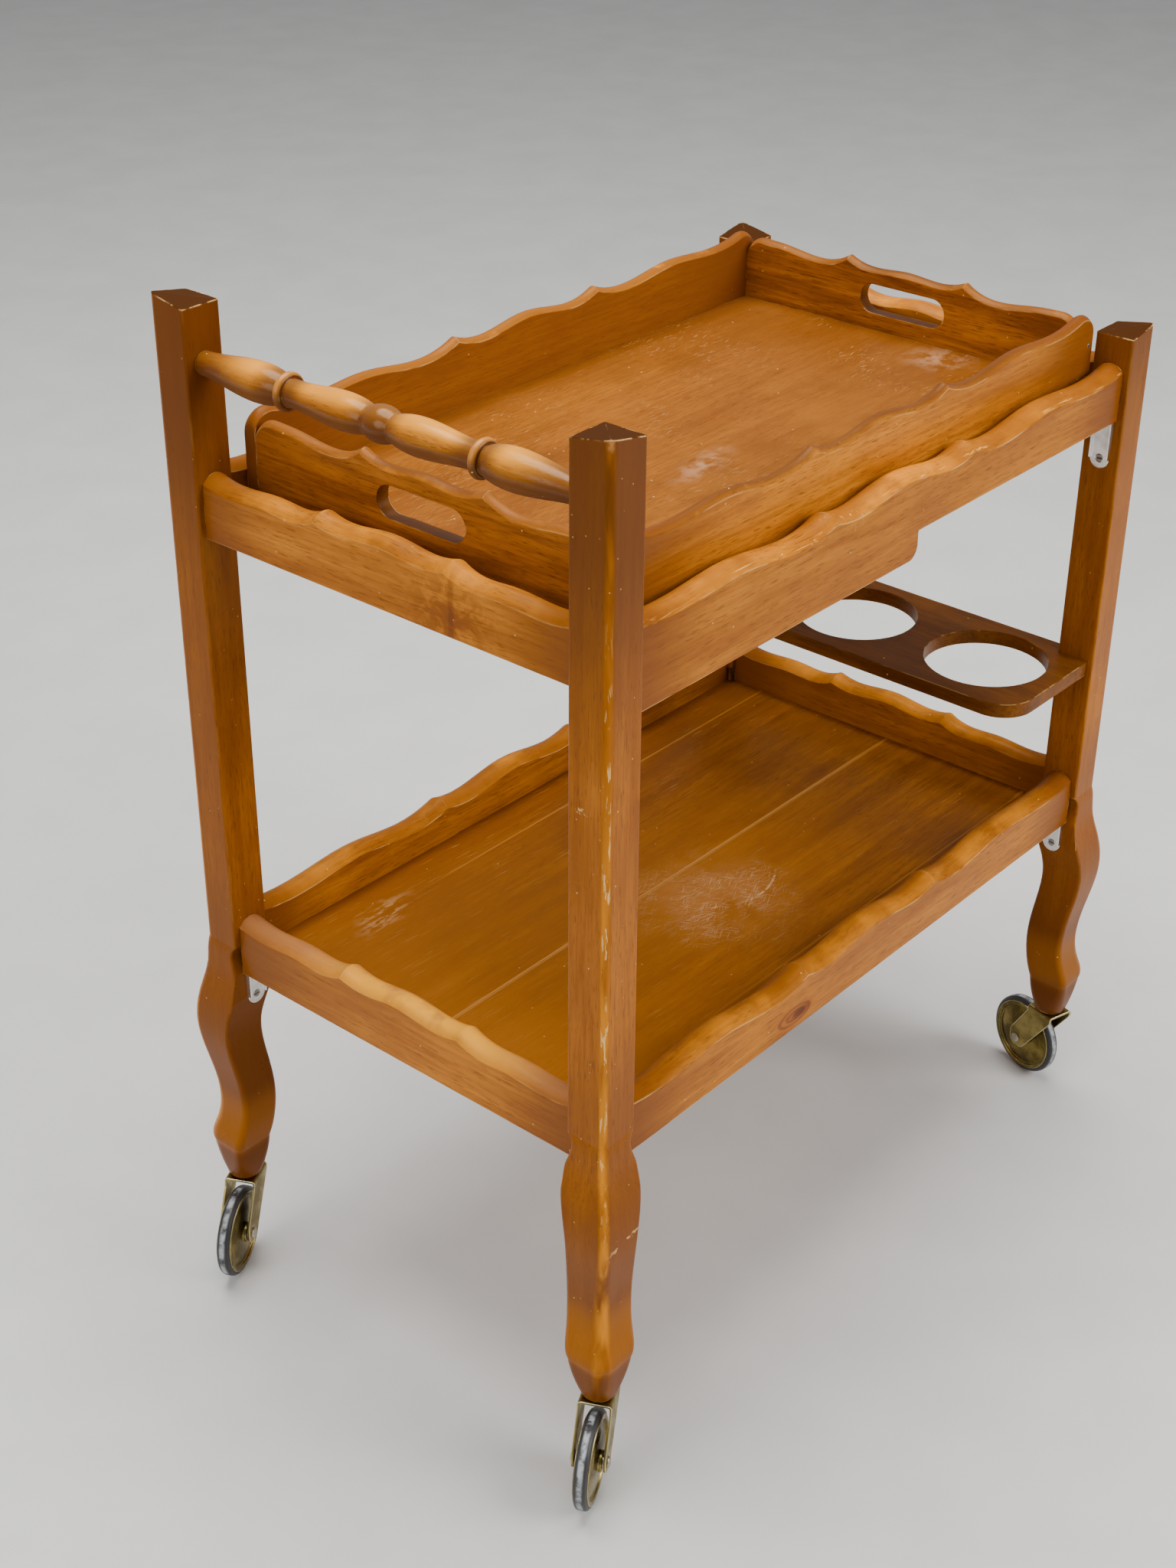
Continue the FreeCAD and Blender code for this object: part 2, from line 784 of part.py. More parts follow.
shelf_recesses = []
for kind in ("shelf_long", "shelf_short"):
    for side in (-1, 1):
        shelf_recesses += rail_recesses[(kind, side)]
for word, sign in ends:
    layers = []
    for layer, half_x, half_y, height in (
        ("Tongue", SHELF_X, SHELF_Y, "shelf_tongue"),
        ("Field", FIELD_X, FIELD_Y, "shelf_thickness"),
    ):
        if sign < 0:
            low_y = "-" + half_y
            width = "%s + shelf_joint_place - shelf_joint_gap / 2" % half_y
        else:
            low_y = "shelf_joint_place + shelf_joint_gap / 2"
            width = "%s - shelf_joint_place - shelf_joint_gap / 2" % half_y
        layers.append(
            box(
                "Shelf%s_%s" % (layer, word),
                ("-" + half_x, low_y, "shelf_top - shelf_thickness"),
                ("2 * " + half_x, width, height),
            )
        )
    panel = joined("ShelfPanel_" + word, layers)
    tools = post_clearances("ShelfNotch_" + word)
    tools.append(solid("ShelfHooks_" + word, Part.makeCompound(shelf_recesses)))
    node(cut("ShelfBoard_" + word, panel, tools), "shelf_board_" + word)


# Bottle rack: one board with three round holes, notched round the two lower posts.
rack_body = doc.addObject("PartDesign::Body", "Rack")
notch_x = half_long - s.joint_clearance
notch_y = half_short - s.joint_clearance
rack_half = s.cart_width / 2 - s.rack_side_set
rack_low = half_long + s.rack_tongue - s.rack_depth
rack_outline = chain(
    [
        (rack_low, -rack_half, s.rack_round),
        (notch_x, -rack_half),
        (notch_x, -notch_y),
        (half_long + s.rack_tongue, -notch_y),
        (half_long + s.rack_tongue, notch_y),
        (notch_x, notch_y),
        (notch_x, rack_half),
        (rack_low, rack_half, s.rack_round),
    ]
)
outline = body_sketch(rack_body, "Rack_outline", rack_outline, "XY_Plane")
pad = rack_body.newObject("PartDesign::Pad", "Rack_pad")
pad.Profile = outline
bind(pad, "Length", "rack_thickness")
doc.recompute()
hole_count = math.floor((2 * (rack_half - s.rack_side_edge) + s.rack_web) / s.bottle_pitch + 1e-6)
holes = [
    Part.Circle(
        Vector(rack_low + s.bottle_row, (step - (hole_count - 1) / 2) * s.bottle_pitch, 0),
        Vector(0, 0, 1),
        s.bottle_hole / 2,
    )
    for step in range(hole_count)
]
hole_sketch = body_sketch(rack_body, "Rack_holes", holes, "XY_Plane")
pocket = rack_body.newObject("PartDesign::Pocket", "Rack_pocket")
pocket.Profile = hole_sketch
pocket.Type = "ThroughAll"
pocket.Midplane = True
outline.Visibility = False
hole_sketch.Visibility = False
place(rack_body, z="rack_top - rack_thickness")
doc.recompute()

# Two dowels per side hold the rack: one into each face of the notch.
DOWEL_Z = "rack_top - rack_thickness / 2"
rack_dowels = []
dowel_holes = {-1: [], 1: []}
for word, sign in ends:
    toward = ALONG_Y if sign > 0 else AGAINST_Y
    rows = (
        ("long", INNER_X + " - dowel_length / 2", signed(sign, RAIL_Y), ALONG_X),
        ("cross", INNER_X + " + rack_tongue / 2", signed(sign, INNER_Y + " - dowel_length / 2"), toward),
    )
    for name, x, y, turn in rows:
        label = "%s_%s" % (name, word)
        rack_dowels.append(rod("Dowel_" + label, "dowel_radius", "dowel_length", x, y, DOWEL_Z, turn))
        hole = rod(
            "DowelHole_" + label,
            "dowel_radius + joint_clearance",
            "dowel_length",
            x,
            y,
            DOWEL_Z,
            turn,
        )
        dowel_holes[sign].append(hole)
node(cut("RackBoard", rack_body, dowel_holes[-1] + dowel_holes[1]), "bottle_rack")
node(grouped("RackDowels", rack_dowels), "rack_dowels")


# Handle: a turned spindle with rings, balusters and a centre bead, round tenons in both posts.
ring_low = s.handle_ring_place - s.handle_ring_width / 2
ring_high = s.handle_ring_place + s.handle_ring_width / 2
ring_edge = (s.handle_waist_radius + s.handle_ring_radius) / 2
bead = s.handle_bead_width / 2
groove_wall = bead + s.handle_groove_width
tenon_end = half_short + s.handle_tenon_length
half_profile = [
    [(s.handle_groove_radius, groove_wall),
     (s.handle_belly_radius - s.handle_belly_ease, (groove_wall + s.handle_belly_place) / 2),
     (s.handle_belly_radius, s.handle_belly_place),
     ((s.handle_belly_radius + s.handle_waist_radius) / 2, (s.handle_belly_place + ring_low) / 2),
     (s.handle_waist_radius, ring_low)],
    [(s.handle_waist_radius, ring_low), (ring_edge, ring_low)],
    [(ring_edge, ring_low), (s.handle_ring_radius, s.handle_ring_place), (ring_edge, ring_high)],
    [(ring_edge, ring_high), (s.handle_waist_radius, ring_high)],
    [(s.handle_waist_radius, ring_high),
     (s.handle_swell_radius - s.handle_swell_ease, (ring_high + s.handle_swell_place) / 2),
     (s.handle_swell_radius, s.handle_swell_place),
     ((s.handle_swell_radius + s.handle_end_radius) / 2,
      (s.handle_swell_place + half_short) / 2 + s.handle_neck_shift),
     (s.handle_end_radius, half_short)],
    [(s.handle_end_radius, half_short), (s.handle_tenon_radius, half_short)],
    [(s.handle_tenon_radius, half_short), (s.handle_tenon_radius, tenon_end)],
    [(s.handle_tenon_radius, tenon_end), (0, tenon_end)],
]
spindle_edges = [
    curve([(s.handle_groove_radius, -bead), (s.handle_bead_radius, 0), (s.handle_groove_radius, bead)]),
    Part.LineSegment(Vector(0, tenon_end, 0), Vector(0, -tenon_end, 0)),
]
for side in (-1, 1):
    spindle_edges.append(
        Part.LineSegment(
            Vector(s.handle_groove_radius, side * bead, 0),
            Vector(s.handle_groove_radius, side * groove_wall, 0),
        )
    )
    for run in half_profile:
        points = [(radius, side * along) for radius, along in run]
        if len(points) == 2:
            spindle_edges.append(Part.LineSegment(Vector(*points[0], 0), Vector(*points[1], 0)))
        else:
            spindle_edges.append(curve(points))
spindle = turned("Spindle", spindle_edges)
place(spindle, x="-" + RAIL_X, z="handle_level", turn=ALONG_Y)
node(spindle, "handle_spindle")


# Tray: two long sides, two ends between them, a floor tongued into grooves, and brads through the corners.
FLOOR_X = "(tray_length / 2 - tray_board + tray_groove_depth)"
FLOOR_Y = "(tray_width / 2 - tray_board + tray_groove_depth)"
TRAY_FIELD_X = "(tray_length / 2 - tray_board - joint_clearance)"
TRAY_FIELD_Y = "(tray_width / 2 - tray_board - joint_clearance)"
half_tray = s.tray_length / 2
half_end = s.tray_width / 2 - s.tray_board


def tray_tongue(name, slack):
    return box(
        name,
        (
            "tray_shift - %s - %s" % (FLOOR_X, slack),
            "-%s - %s" % (FLOOR_Y, slack),
            "tray_floor_top - tray_floor_thickness - " + slack,
        ),
        (
            "2 * %s + 2 * %s" % (FLOOR_X, slack),
            "2 * %s + 2 * %s" % (FLOOR_Y, slack),
            "tray_tongue + 2 * " + slack,
        ),
    )


tray_field = box(
    "TrayField",
    (
        "tray_shift - " + TRAY_FIELD_X,
        "-" + TRAY_FIELD_Y,
        "tray_floor_top - tray_floor_thickness",
    ),
    ("2 * " + TRAY_FIELD_X, "2 * " + TRAY_FIELD_Y, "tray_floor_thickness"),
)


def brad_shape(top, along, slack):
    head = Part.makeCylinder(s.brad_head_radius + slack, s.brad_head_height, top, along)
    shank = Part.makeCylinder(s.brad_radius + slack, s.brad_length + slack, top, along)
    return head.fuse(shank).removeSplitter()


brads = []
brad_holes = []
for sx in (-1, 1):
    for sy in (-1, 1):
        for level in (s.brad_low_level, s.brad_high_level):
            top = Vector(
                s.tray_shift + sx * (half_tray - s.tray_board / 2),
                sy * s.tray_width / 2,
                level,
            )
            brads.append(brad_shape(top, Vector(0, -sy, 0), 0))
            brad_holes.append(brad_shape(top, Vector(0, -sy, 0), s.joint_clearance / 2))
node(solid("Brads", Part.makeCompound(brads)), "tray_brads")
node(joined("TrayFloor", [tray_field, tray_tongue("TrayTongue", "0")]), "tray_floor")
for word, sign in ends:
    lower = [(half_tray, s.tray_bottom), (-half_tray, s.tray_bottom)]
    loft = scalloped_board(
        "TraySide_" + word,
        "side",
        Vector(s.tray_shift, sign * (s.tray_width - s.tray_board) / 2, 0),
        BOARD_ALONG_X,
        half_tray,
        s.tray_level,
        lower,
        s.tray_board,
        s.tray_crown,
        s.tray_end_round,
    )
    tools = [
        tray_tongue("SideGroove_" + word, "joint_clearance"),
        solid("SideHoles_" + word, Part.makeCompound(brad_holes)),
    ]
    node(cut("TraySideBoard_" + word, loft, tools), "tray_side_" + word)
for word, sign in tips:
    lower = [(half_end, s.tray_bottom), (-half_end, s.tray_bottom)]
    loft = scalloped_board(
        "TrayEnd_" + word,
        "end",
        Vector(s.tray_shift + sign * (half_tray - s.tray_board / 2), 0, 0),
        BOARD_ALONG_Y,
        half_end,
        s.tray_level,
        lower,
        s.tray_board,
        s.tray_crown,
        s.tray_end_round,
    )
    slot_round = (s.slot_height - s.slot_tip_flat) / 2
    slot_outline = chain(
        [
            (across * s.slot_length / 2, s.slot_level + up * s.slot_height / 2, slot_round)
            for across, up in ((1, 1), (-1, 1), (-1, -1), (1, -1))
        ]
    )
    slot_face = sketch(
        "Slot_" + word,
        slot_outline,
        Placement(Vector(s.tray_shift + sign * (half_tray - s.tray_board / 2), 0, 0), BOARD_ALONG_Y),
    )
    slot = doc.addObject("Part::Extrusion", "SlotTool_" + word)
    slot.Base = slot_face
    slot.DirMode = "Custom"
    slot.Dir = Vector(1, 0, 0)
    bind(slot, "LengthFwd", "2 * tray_board")
    slot.Symmetric = True
    slot.Solid = True
    tools = [
        slot,
        tray_tongue("EndGroove_" + word, "joint_clearance"),
        solid("EndHoles_" + word, Part.makeCompound(brad_holes)),
    ]
    node(cut("TrayEndBoard_" + word, loft, tools), "tray_end_" + word)


# Posts: a square upper part with a falling top, and a cabriole leg that ends in a round foot.
STATIONS = ("hip", "thigh", "swell", "knee", "shin", "calf", "ankle", "instep", "toe", "crease")
FOOT_STATIONS = ("crease", "pad", "foot")
FOOT_ROUNDNESS = 0.96
PAD_ROUNDNESS = 0.75


def station(name):
    """Height, outer face, inner face, outer corner radius and other corner radius of one leg section."""
    height = getattr(s, name + "_height")
    if name == "foot":
        outer = s.foot_inset - s.foot_radius
        inner = s.foot_inset + s.foot_radius
        return height, outer, inner, FOOT_ROUNDNESS * s.foot_radius, FOOT_ROUNDNESS * s.foot_radius
    outer = 0 if name == "hip" else getattr(s, name + "_outer")
    inner = s.post_size if name in ("hip", "thigh", "swell") else getattr(s, name + "_inner")
    fall = (s.hip_height - height) / (s.hip_height - s.crease_height)
    corner = s.post_corner_round + (s.toe_round - s.post_corner_round) * min(1, fall) ** 2
    edge = s.post_edge_round + (s.toe_round / 2 - s.post_edge_round) * min(1, fall) ** 2
    if name == "pad":
        edge = PAD_ROUNDNESS * s.toe_round
    return height, outer, inner, corner, edge


def section(sx, sy, outer, inner, corner, edge):
    """A square with one larger rounded corner, seen from above, for the post on one corner of the cart."""
    far_x = sx * (s.cart_length / 2 - outer)
    far_y = sy * (s.cart_width / 2 - outer)
    near_x = sx * (s.cart_length / 2 - inner)
    near_y = sy * (s.cart_width / 2 - inner)
    return chain([(far_x, far_y, corner), (near_x, far_y, edge), (near_x, near_y, edge), (far_x, near_y, edge)])


def leg_loft(name, sx, sy, names):
    sections = []
    for word in names:
        height, outer, inner, corner, edge = station(word)
        edges = section(sx, sy, outer, inner, corner, edge)
        sections.append(sketch("%s_%s" % (name, word), edges, Placement(Vector(0, 0, height), Rotation())))
    loft = doc.addObject("Part::Loft", name)
    loft.Sections = sections
    loft.Solid = True
    loft.Ruled = False
    return loft


def post_top_cuts(name, sx, sy, height):
    """Two sloping cuts that leave the outer corner of the post highest."""
    tools = []
    tilt = math.degrees(math.atan2(s.post_top_fall, s.post_size))
    for word, axis in (("length", "x"), ("width", "y")):
        block = Part.makeBox(3 * s.post_size, 3 * s.post_size, s.post_size)
        block.translate(Vector(-2 * s.post_size, -1.5 * s.post_size, 0))
        sign = sx if axis == "x" else sy
        spin = 0 if axis == "x" else 90
        spin += 180 if sign < 0 else 0
        centre = Vector(sx * (s.cart_length - s.post_size) / 2, sy * (s.cart_width - s.post_size) / 2, height)
        outward = Vector(sx, 0, 0) if axis == "x" else Vector(0, sy, 0)
        edge = centre + outward * (s.post_size / 2)
        turn = Rotation(Vector(0, 0, 1), spin).multiply(Rotation(Vector(0, 1, 0), -tilt))
        block.Placement = Placement(edge, turn).multiply(block.Placement)
        tools.append(solid("%s_%s" % (name, word), block))
    return tools


def face_guards(name, sx, sy):
    """Blocks that keep the two inner faces of a post flat where rails and plates lie against them."""
    height = "handle_post_height - knee_height"
    low_x = "-%s" % INNER_X if sx < 0 else INNER_X + " - post_size"
    low_y = "-%s" % INNER_Y if sy < 0 else INNER_Y + " - post_size"
    return [
        box(name + "_x", (low_x, signed(sy, RAIL_Y) + " - post_size", "knee_height"),
            ("post_size", "2 * post_size", height)),
        box(name + "_y", (signed(sx, RAIL_X) + " - post_size", low_y, "knee_height"),
            ("2 * post_size", "post_size", height)),
    ]


for x_word, sx in tips:
    for y_word, sy in ends:
        name = "%s_%s" % (x_word, y_word)
        height = s.handle_post_height if sx < 0 else s.bottle_post_height
        hip, outer, inner, corner, edge = station("hip")
        square = sketch(
            "Square_" + name,
            section(sx, sy, outer, inner, corner, edge),
            Placement(Vector(0, 0, hip), Rotation()),
        )
        upper = doc.addObject("Part::Extrusion", "Upper_" + name)
        upper.Base = square
        upper.DirMode = "Custom"
        upper.Dir = Vector(0, 0, 1)
        bind(upper, "LengthFwd", "%s_post_height - hip_height" % x_word)
        upper.Solid = True
        leg = leg_loft("Leg_" + name, sx, sy, STATIONS)
        foot = leg_loft("Foot_" + name, sx, sy, FOOT_STATIONS)
        post = joined("Timber_" + name, [upper, leg, foot])
        tools = post_top_cuts("TopCut_" + name, sx, sy, height)
        tools += face_guards("Guard_" + name, sx, sy)
        tools.append(solid("Pilots_" + name, Part.makeCompound(post_pilots[(sx, sy)])))
        tools.append(short_tenons[sx])
        tools.append(
            rod(
                "SocketBore_" + name,
                "stem_radius + running_clearance + socket_wall + joint_clearance",
                "socket_depth + cut_overrun",
                signed(sx, "cart_length / 2 - foot_inset"),
                signed(sy, "cart_width / 2 - foot_inset"),
                "foot_height - cut_overrun",
                Rotation(),
            )
        )
        if sx < 0:
            tools.append(
                rod(
                    "HandleBore_" + name,
                    "handle_tenon_radius + joint_clearance",
                    "handle_tenon_length + joint_clearance",
                    signed(sx, RAIL_X),
                    signed(sy, INNER_Y),
                    "handle_level",
                    ALONG_Y if sy > 0 else AGAINST_Y,
                )
            )
        else:
            tools += dowel_holes[sy]
        node(cut("Post_" + name, post, tools), "post_" + name)


# Casters, drawn with the swivel axis on local Z and the wheel trailing towards local +X.
plate_top = s.foot_height - s.socket_flange_gauge - s.fork_plate_gap
plate_low = plate_top - s.fork_gauge
inner_width = s.fork_width - 2 * s.fork_gauge


def fork_shape():
    """A pressed strap: a flat plate under the foot and two tapering cheeks down to the axle."""
    front = -s.fork_front
    rear = s.fork_length - s.fork_front
    centre = Vector(s.caster_trail, s.wheel_radius, 0)
    side_view = Part.Wire([edge.toShape() for edge in chain(cheek_corners(front, rear, centre))])
    face = Part.Face(side_view)
    face.Placement = Placement(Vector(0, s.fork_width / 2, 0), BOARD_ALONG_X)
    block = face.extrude(Vector(0, -s.fork_width, 0))
    folds = [
        edge
        for edge in block.Edges
        if abs(edge.BoundBox.ZMin - plate_top) < 1e-6
        and edge.BoundBox.ZLength < 1e-6
        and edge.BoundBox.YLength < 1e-6
    ]
    block = block.makeFillet(s.fork_fold, folds)
    channel = Part.makeBox(
        4 * s.fork_length,
        inner_width,
        plate_low,
        Vector(-2 * s.fork_length, -inner_width / 2, 0),
    )
    ridge = [
        edge
        for edge in channel.Edges
        if abs(edge.BoundBox.ZMin - plate_low) < 1e-6 and edge.BoundBox.YLength < 1e-6
    ]
    channel = channel.makeFillet(s.fork_fold - s.fork_gauge, ridge)
    strap = block.cut(channel)
    stem_hole = Part.makeCylinder(s.stem_radius, 2 * s.fork_gauge, Vector(0, 0, plate_low - s.fork_gauge / 2))
    axle_hole = Part.makeCylinder(
        s.axle_radius,
        2 * s.fork_width,
        Vector(s.caster_trail, -s.fork_width, s.wheel_radius),
        Vector(0, 1, 0),
    )
    return strap.cut(stem_hole).cut(axle_hole)


def cheek_corners(front, rear, centre):
    """Side view of the fork: straight top, tapering to a round tip below the axle."""
    tip = s.fork_tip_radius
    shoulder = plate_top - 2 * s.fork_fold
    return [
        (front, plate_top),
        (rear, plate_top),
        (rear, shoulder, tip),
        (centre.x + tip, centre.y + tip, tip),
        (centre.x + tip, centre.y - tip, 0.9 * tip),
        (centre.x - tip, centre.y - tip, 0.9 * tip),
        (front, shoulder, tip),
    ]


hub_half = inner_width / 2 - s.side_play
tyre_low = s.wheel_radius - s.tyre_depth
disc_half = s.disc_rim_width / 2
web_half = s.disc_web_width / 2
dome_half = s.disc_dome_width / 2
collar = s.bush_radius + s.hub_wall
socket_inner = s.stem_radius + s.running_clearance
socket_outer = socket_inner + s.socket_wall


def mirrored_outline(half):
    """Close an outline given from its outer edge to its inner edge at +height with its mirror image."""
    return half + [(p[0], -p[1]) + tuple(p[2:]) for p in reversed(half)]


def caster_outlines():
    stem_top = s.foot_height + s.stem_length
    rim_groove = tyre_low - s.press_gap
    disc = mirrored_outline(
        [
            (rim_groove, s.tyre_width / 2),
            (rim_groove + s.rim_lip, s.tyre_width / 2),
            (rim_groove + s.rim_lip, disc_half, s.rim_lip_round),
            (rim_groove - s.rim_fold, disc_half, s.rim_fold_round),
            (rim_groove - s.rim_depth, web_half, s.web_round),
            ((rim_groove + collar) / 2, (web_half + dome_half) / 2 + s.dish_rise, s.dish_round),
            (collar, dome_half, s.dome_round),
            (collar, hub_half - s.hub_set, s.hub_round),
            (s.bush_radius + s.press_gap, hub_half - s.hub_set),
        ]
    )
    return {
        "socket": chain(
            [
                (socket_inner, s.foot_height - s.socket_flange_gauge),
                (s.socket_flange_radius, s.foot_height - s.socket_flange_gauge),
                (s.socket_flange_radius, s.foot_height),
                (socket_outer, s.foot_height),
                (socket_outer, s.foot_height + s.socket_depth),
                (socket_inner, s.foot_height + s.socket_depth),
            ]
        ),
        "stem": chain(
            [
                (0, plate_low - s.stem_head_height),
                (s.stem_head_radius, plate_low - s.stem_head_height, s.stem_round),
                (s.stem_head_radius, plate_low),
                (s.stem_radius, plate_low),
                (s.stem_radius, stem_top, s.stem_round),
                (0, stem_top),
            ]
        ),
        "axle": chain(
            mirrored_outline(
                [
                    (0, s.fork_width / 2 + s.rivet_height),
                    (s.rivet_radius, s.fork_width / 2 + s.rivet_height, s.rivet_round),
                    (s.rivet_radius, s.fork_width / 2),
                    (s.axle_radius, s.fork_width / 2),
                ]
            )
        ),
        "wheel_bush": chain(
            mirrored_outline(
                [
                    (s.bush_radius, hub_half, s.bush_round),
                    (s.axle_radius + s.running_clearance, hub_half),
                ]
            )
        ),
        "wheel_disc": chain(disc),
        "tyre": chain(
            mirrored_outline(
                [
                    (s.wheel_radius, s.tyre_width / 2, s.tyre_round),
                    (tyre_low, s.tyre_width / 2),
                ]
            )
        ),
    }


ABOUT_AXLE = ("axle", "wheel_bush", "wheel_disc", "tyre")
pressed_fork = fork_shape()
for x_word, sx in tips:
    for y_word, sy in ends:
        corner_name = "%s_%s" % (x_word, y_word)
        heading = Rotation(Vector(0, 0, 1), getattr(s, corner_name + "_angle"))
        pivot = Vector(sx * (s.cart_length / 2 - s.foot_inset), sy * (s.cart_width / 2 - s.foot_inset), 0)
        hub = pivot + heading.multVec(Vector(s.caster_trail, 0, s.wheel_radius))
        fork = solid("Fork_" + corner_name, pressed_fork)
        fork.Placement = Placement(pivot, heading)
        node(fork, "caster_%s_fork" % corner_name)
        for word, edges in caster_outlines().items():
            body = turned("%s_%s" % (word, corner_name), edges)
            if word in ABOUT_AXLE:
                body.Placement = Placement(hub, heading.multiply(ALONG_Y))
            else:
                body.Placement = Placement(pivot, heading)
            node(body, "caster_%s_%s" % (corner_name, word))

doc.recompute()

for obj in doc.Objects:
    if "Invalid" in obj.State or "Error" in obj.State:
        raise RuntimeError("not computed: %s %s" % (obj.Name, obj.State))
for obj in nodes:
    if obj.Shape.isNull() or not obj.Shape.isValid() or not obj.Shape.Solids:
        raise RuntimeError("bad shape: " + obj.Label)

os.makedirs("parts", exist_ok=True)
for obj in nodes:
    obj.Shape.exportStep(os.path.join("parts", obj.Label + ".step"))
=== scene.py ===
# %% [markdown]
# The cart is already built as solids: posts, rails, tray, shelf, rack, connectors and casters. They could
# be modelled again in Blender, but their shapes are right, so they are loaded and only get finishes.
# Loading them first gives a fixed frame, in metres, that every finish refers to.

# %% load the solid cart
import json
import math

import bpy
from mathutils import Matrix, Vector

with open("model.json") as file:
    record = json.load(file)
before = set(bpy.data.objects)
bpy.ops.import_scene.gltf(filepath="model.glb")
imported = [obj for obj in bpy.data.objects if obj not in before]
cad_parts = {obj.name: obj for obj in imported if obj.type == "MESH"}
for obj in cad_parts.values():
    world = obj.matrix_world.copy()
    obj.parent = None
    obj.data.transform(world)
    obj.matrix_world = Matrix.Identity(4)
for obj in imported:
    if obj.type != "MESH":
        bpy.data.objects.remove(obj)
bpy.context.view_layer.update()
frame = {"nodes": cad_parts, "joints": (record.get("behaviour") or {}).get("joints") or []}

nodes = frame["nodes"]
bpy.ops.object.select_all(action="DESELECT")

# %% [markdown]
# The picture looks down on the near corner post from a height of 1.2 m. A camera can be aimed with angles
# or with a Track To constraint. Here its place and its look direction were worked out from the cart's own
# straight edges, so its matrix is filled in from those two and a very small roll. The focal length came out
# in pixels of the picture's height, and the lens in millimetres follows from it.

# %% camera at the photograph's viewing angle
EYE = Vector((-1.1656, -0.9060, 1.2067))
LOOK = Vector((0.6585, 0.5603, -0.5024)).normalized()
ROLL = math.radians(-0.383)
FOCAL_PIXELS = 3028.6
FRAME_HEIGHT = 2048
SENSOR = 36

bpy.ops.object.camera_add()
camera = bpy.context.object
camera.name = "photo_camera"
camera.data.sensor_width = SENSOR
camera.data.lens = SENSOR * FOCAL_PIXELS / FRAME_HEIGHT
right = LOOK.cross(Vector((0, 0, 1))).normalized()
up = right.cross(LOOK)
turn = Matrix.Rotation(ROLL, 3, LOOK)
right = turn @ right
up = turn @ up
camera.matrix_world = Matrix((
    (right.x, up.x, -LOOK.x, EYE.x),
    (right.y, up.y, -LOOK.y, EYE.y),
    (right.z, up.z, -LOOK.z, EYE.z),
    (0, 0, 0, 1),
))
bpy.context.scene.camera = camera
print("camera lens:", round(camera.data.lens, 2), "mm")

# %% [markdown]
# The light is soft and comes mostly from above. Small lamps would give hard spots and sharp shadows, so
# large round area lights are used, which put long, gentle highlights on the varnish: a broad one overhead,
# a key on the front side and a weaker one on the handle end. A dim world fills the shadows.

# %% soft studio light
LIGHT_TARGET = Vector((0, 0, 0.45))
WORLD_TINT = (0.97, 0.98, 1.0, 1)
WORLD_STRENGTH = 0.30


def soft_light(name, place, size, power, tint):
    bpy.ops.object.light_add(type="AREA", location=place)
    lamp = bpy.context.object
    lamp.name = name
    lamp.data.shape = "DISK"
    lamp.data.size = size
    lamp.data.energy = power
    lamp.data.color = tint
    aim = LIGHT_TARGET - Vector(place)
    lamp.rotation_mode = "QUATERNION"
    lamp.rotation_quaternion = aim.to_track_quat("-Z", "Y")


soft_light("broad_overhead", (0.0, 0.3, 3.0), 2.4, 135, (1.0, 0.99, 0.97))
soft_light("front_key", (0.9, -2.8, 2.1), 2.0, 95, (1.0, 0.98, 0.95))
soft_light("handle_side_fill", (-2.8, 0.2, 1.6), 1.8, 34, (1.0, 0.98, 0.96))
world = bpy.data.worlds.new("dim_studio")
bpy.context.scene.world = world
world.use_nodes = True
background = world.node_tree.nodes["Background"]
background.inputs["Color"].default_value = WORLD_TINT
background.inputs["Strength"].default_value = WORLD_STRENGTH
print("lights: overhead, front key, handle-side fill")

# %% [markdown]
# A material is a small graph of nodes. It could be drawn by hand in the Shading workspace. In code, these
# helpers add a node, set its sockets by name and join two sockets, so that each finish below reads as a
# recipe.

# %% helpers for material graphs
def new_material(name):
    material = bpy.data.materials.new(name)
    material.use_nodes = True
    return material, material.node_tree, material.node_tree.nodes["Principled BSDF"]


def put(tree, kind, sockets=None, **settings):
    made = tree.nodes.new("ShaderNode" + kind)
    for key, value in settings.items():
        setattr(made, key, value)
    for key, value in (sockets or {}).items():
        if isinstance(value, bpy.types.NodeSocket):
            tree.links.new(value, made.inputs[key])
        else:
            made.inputs[key].default_value = value
    return made


def math_node(tree, operation, first, second=0.0):
    return put(tree, "Math", {0: first, 1: second}, operation=operation).outputs[0]


def vector_node(tree, operation, first, second=(0, 0, 0)):
    return put(tree, "VectorMath", {0: first, 1: second}, operation=operation).outputs


# %% [markdown]
# Four more helpers do most of the work: remap turns any value into a soft step from 0 to 1, blend_colour lays
# one colour over another by such a step, noise breaks up what is even, and stretched draws a pattern out or
# turns it. Node groups could hold them too, but plain functions are easier to read.

# %% steps, blends and noise
def remap(tree, value, low, high, to_low=0.0, to_high=1.0):
    made = put(
        tree,
        "MapRange",
        {"Value": value, "From Min": low, "From Max": high, "To Min": to_low, "To Max": to_high},
        interpolation_type="SMOOTHSTEP",
    )
    return made.outputs[0]


def blend_colour(tree, share, under, over):
    made = put(tree, "Mix", {0: share}, data_type="RGBA")
    for socket, colour in ((made.inputs[6], under), (made.inputs[7], over)):
        if isinstance(colour, bpy.types.NodeSocket):
            tree.links.new(colour, socket)
        else:
            socket.default_value = (*colour, 1)
    return made.outputs[2]


def noise(tree, place, scale, detail, roughness=0.55, distortion=0.0):
    made = put(
        tree,
        "TexNoise",
        {"Vector": place, "Scale": scale, "Detail": detail, "Roughness": roughness, "Distortion": distortion},
    )
    return made.outputs["Fac"]


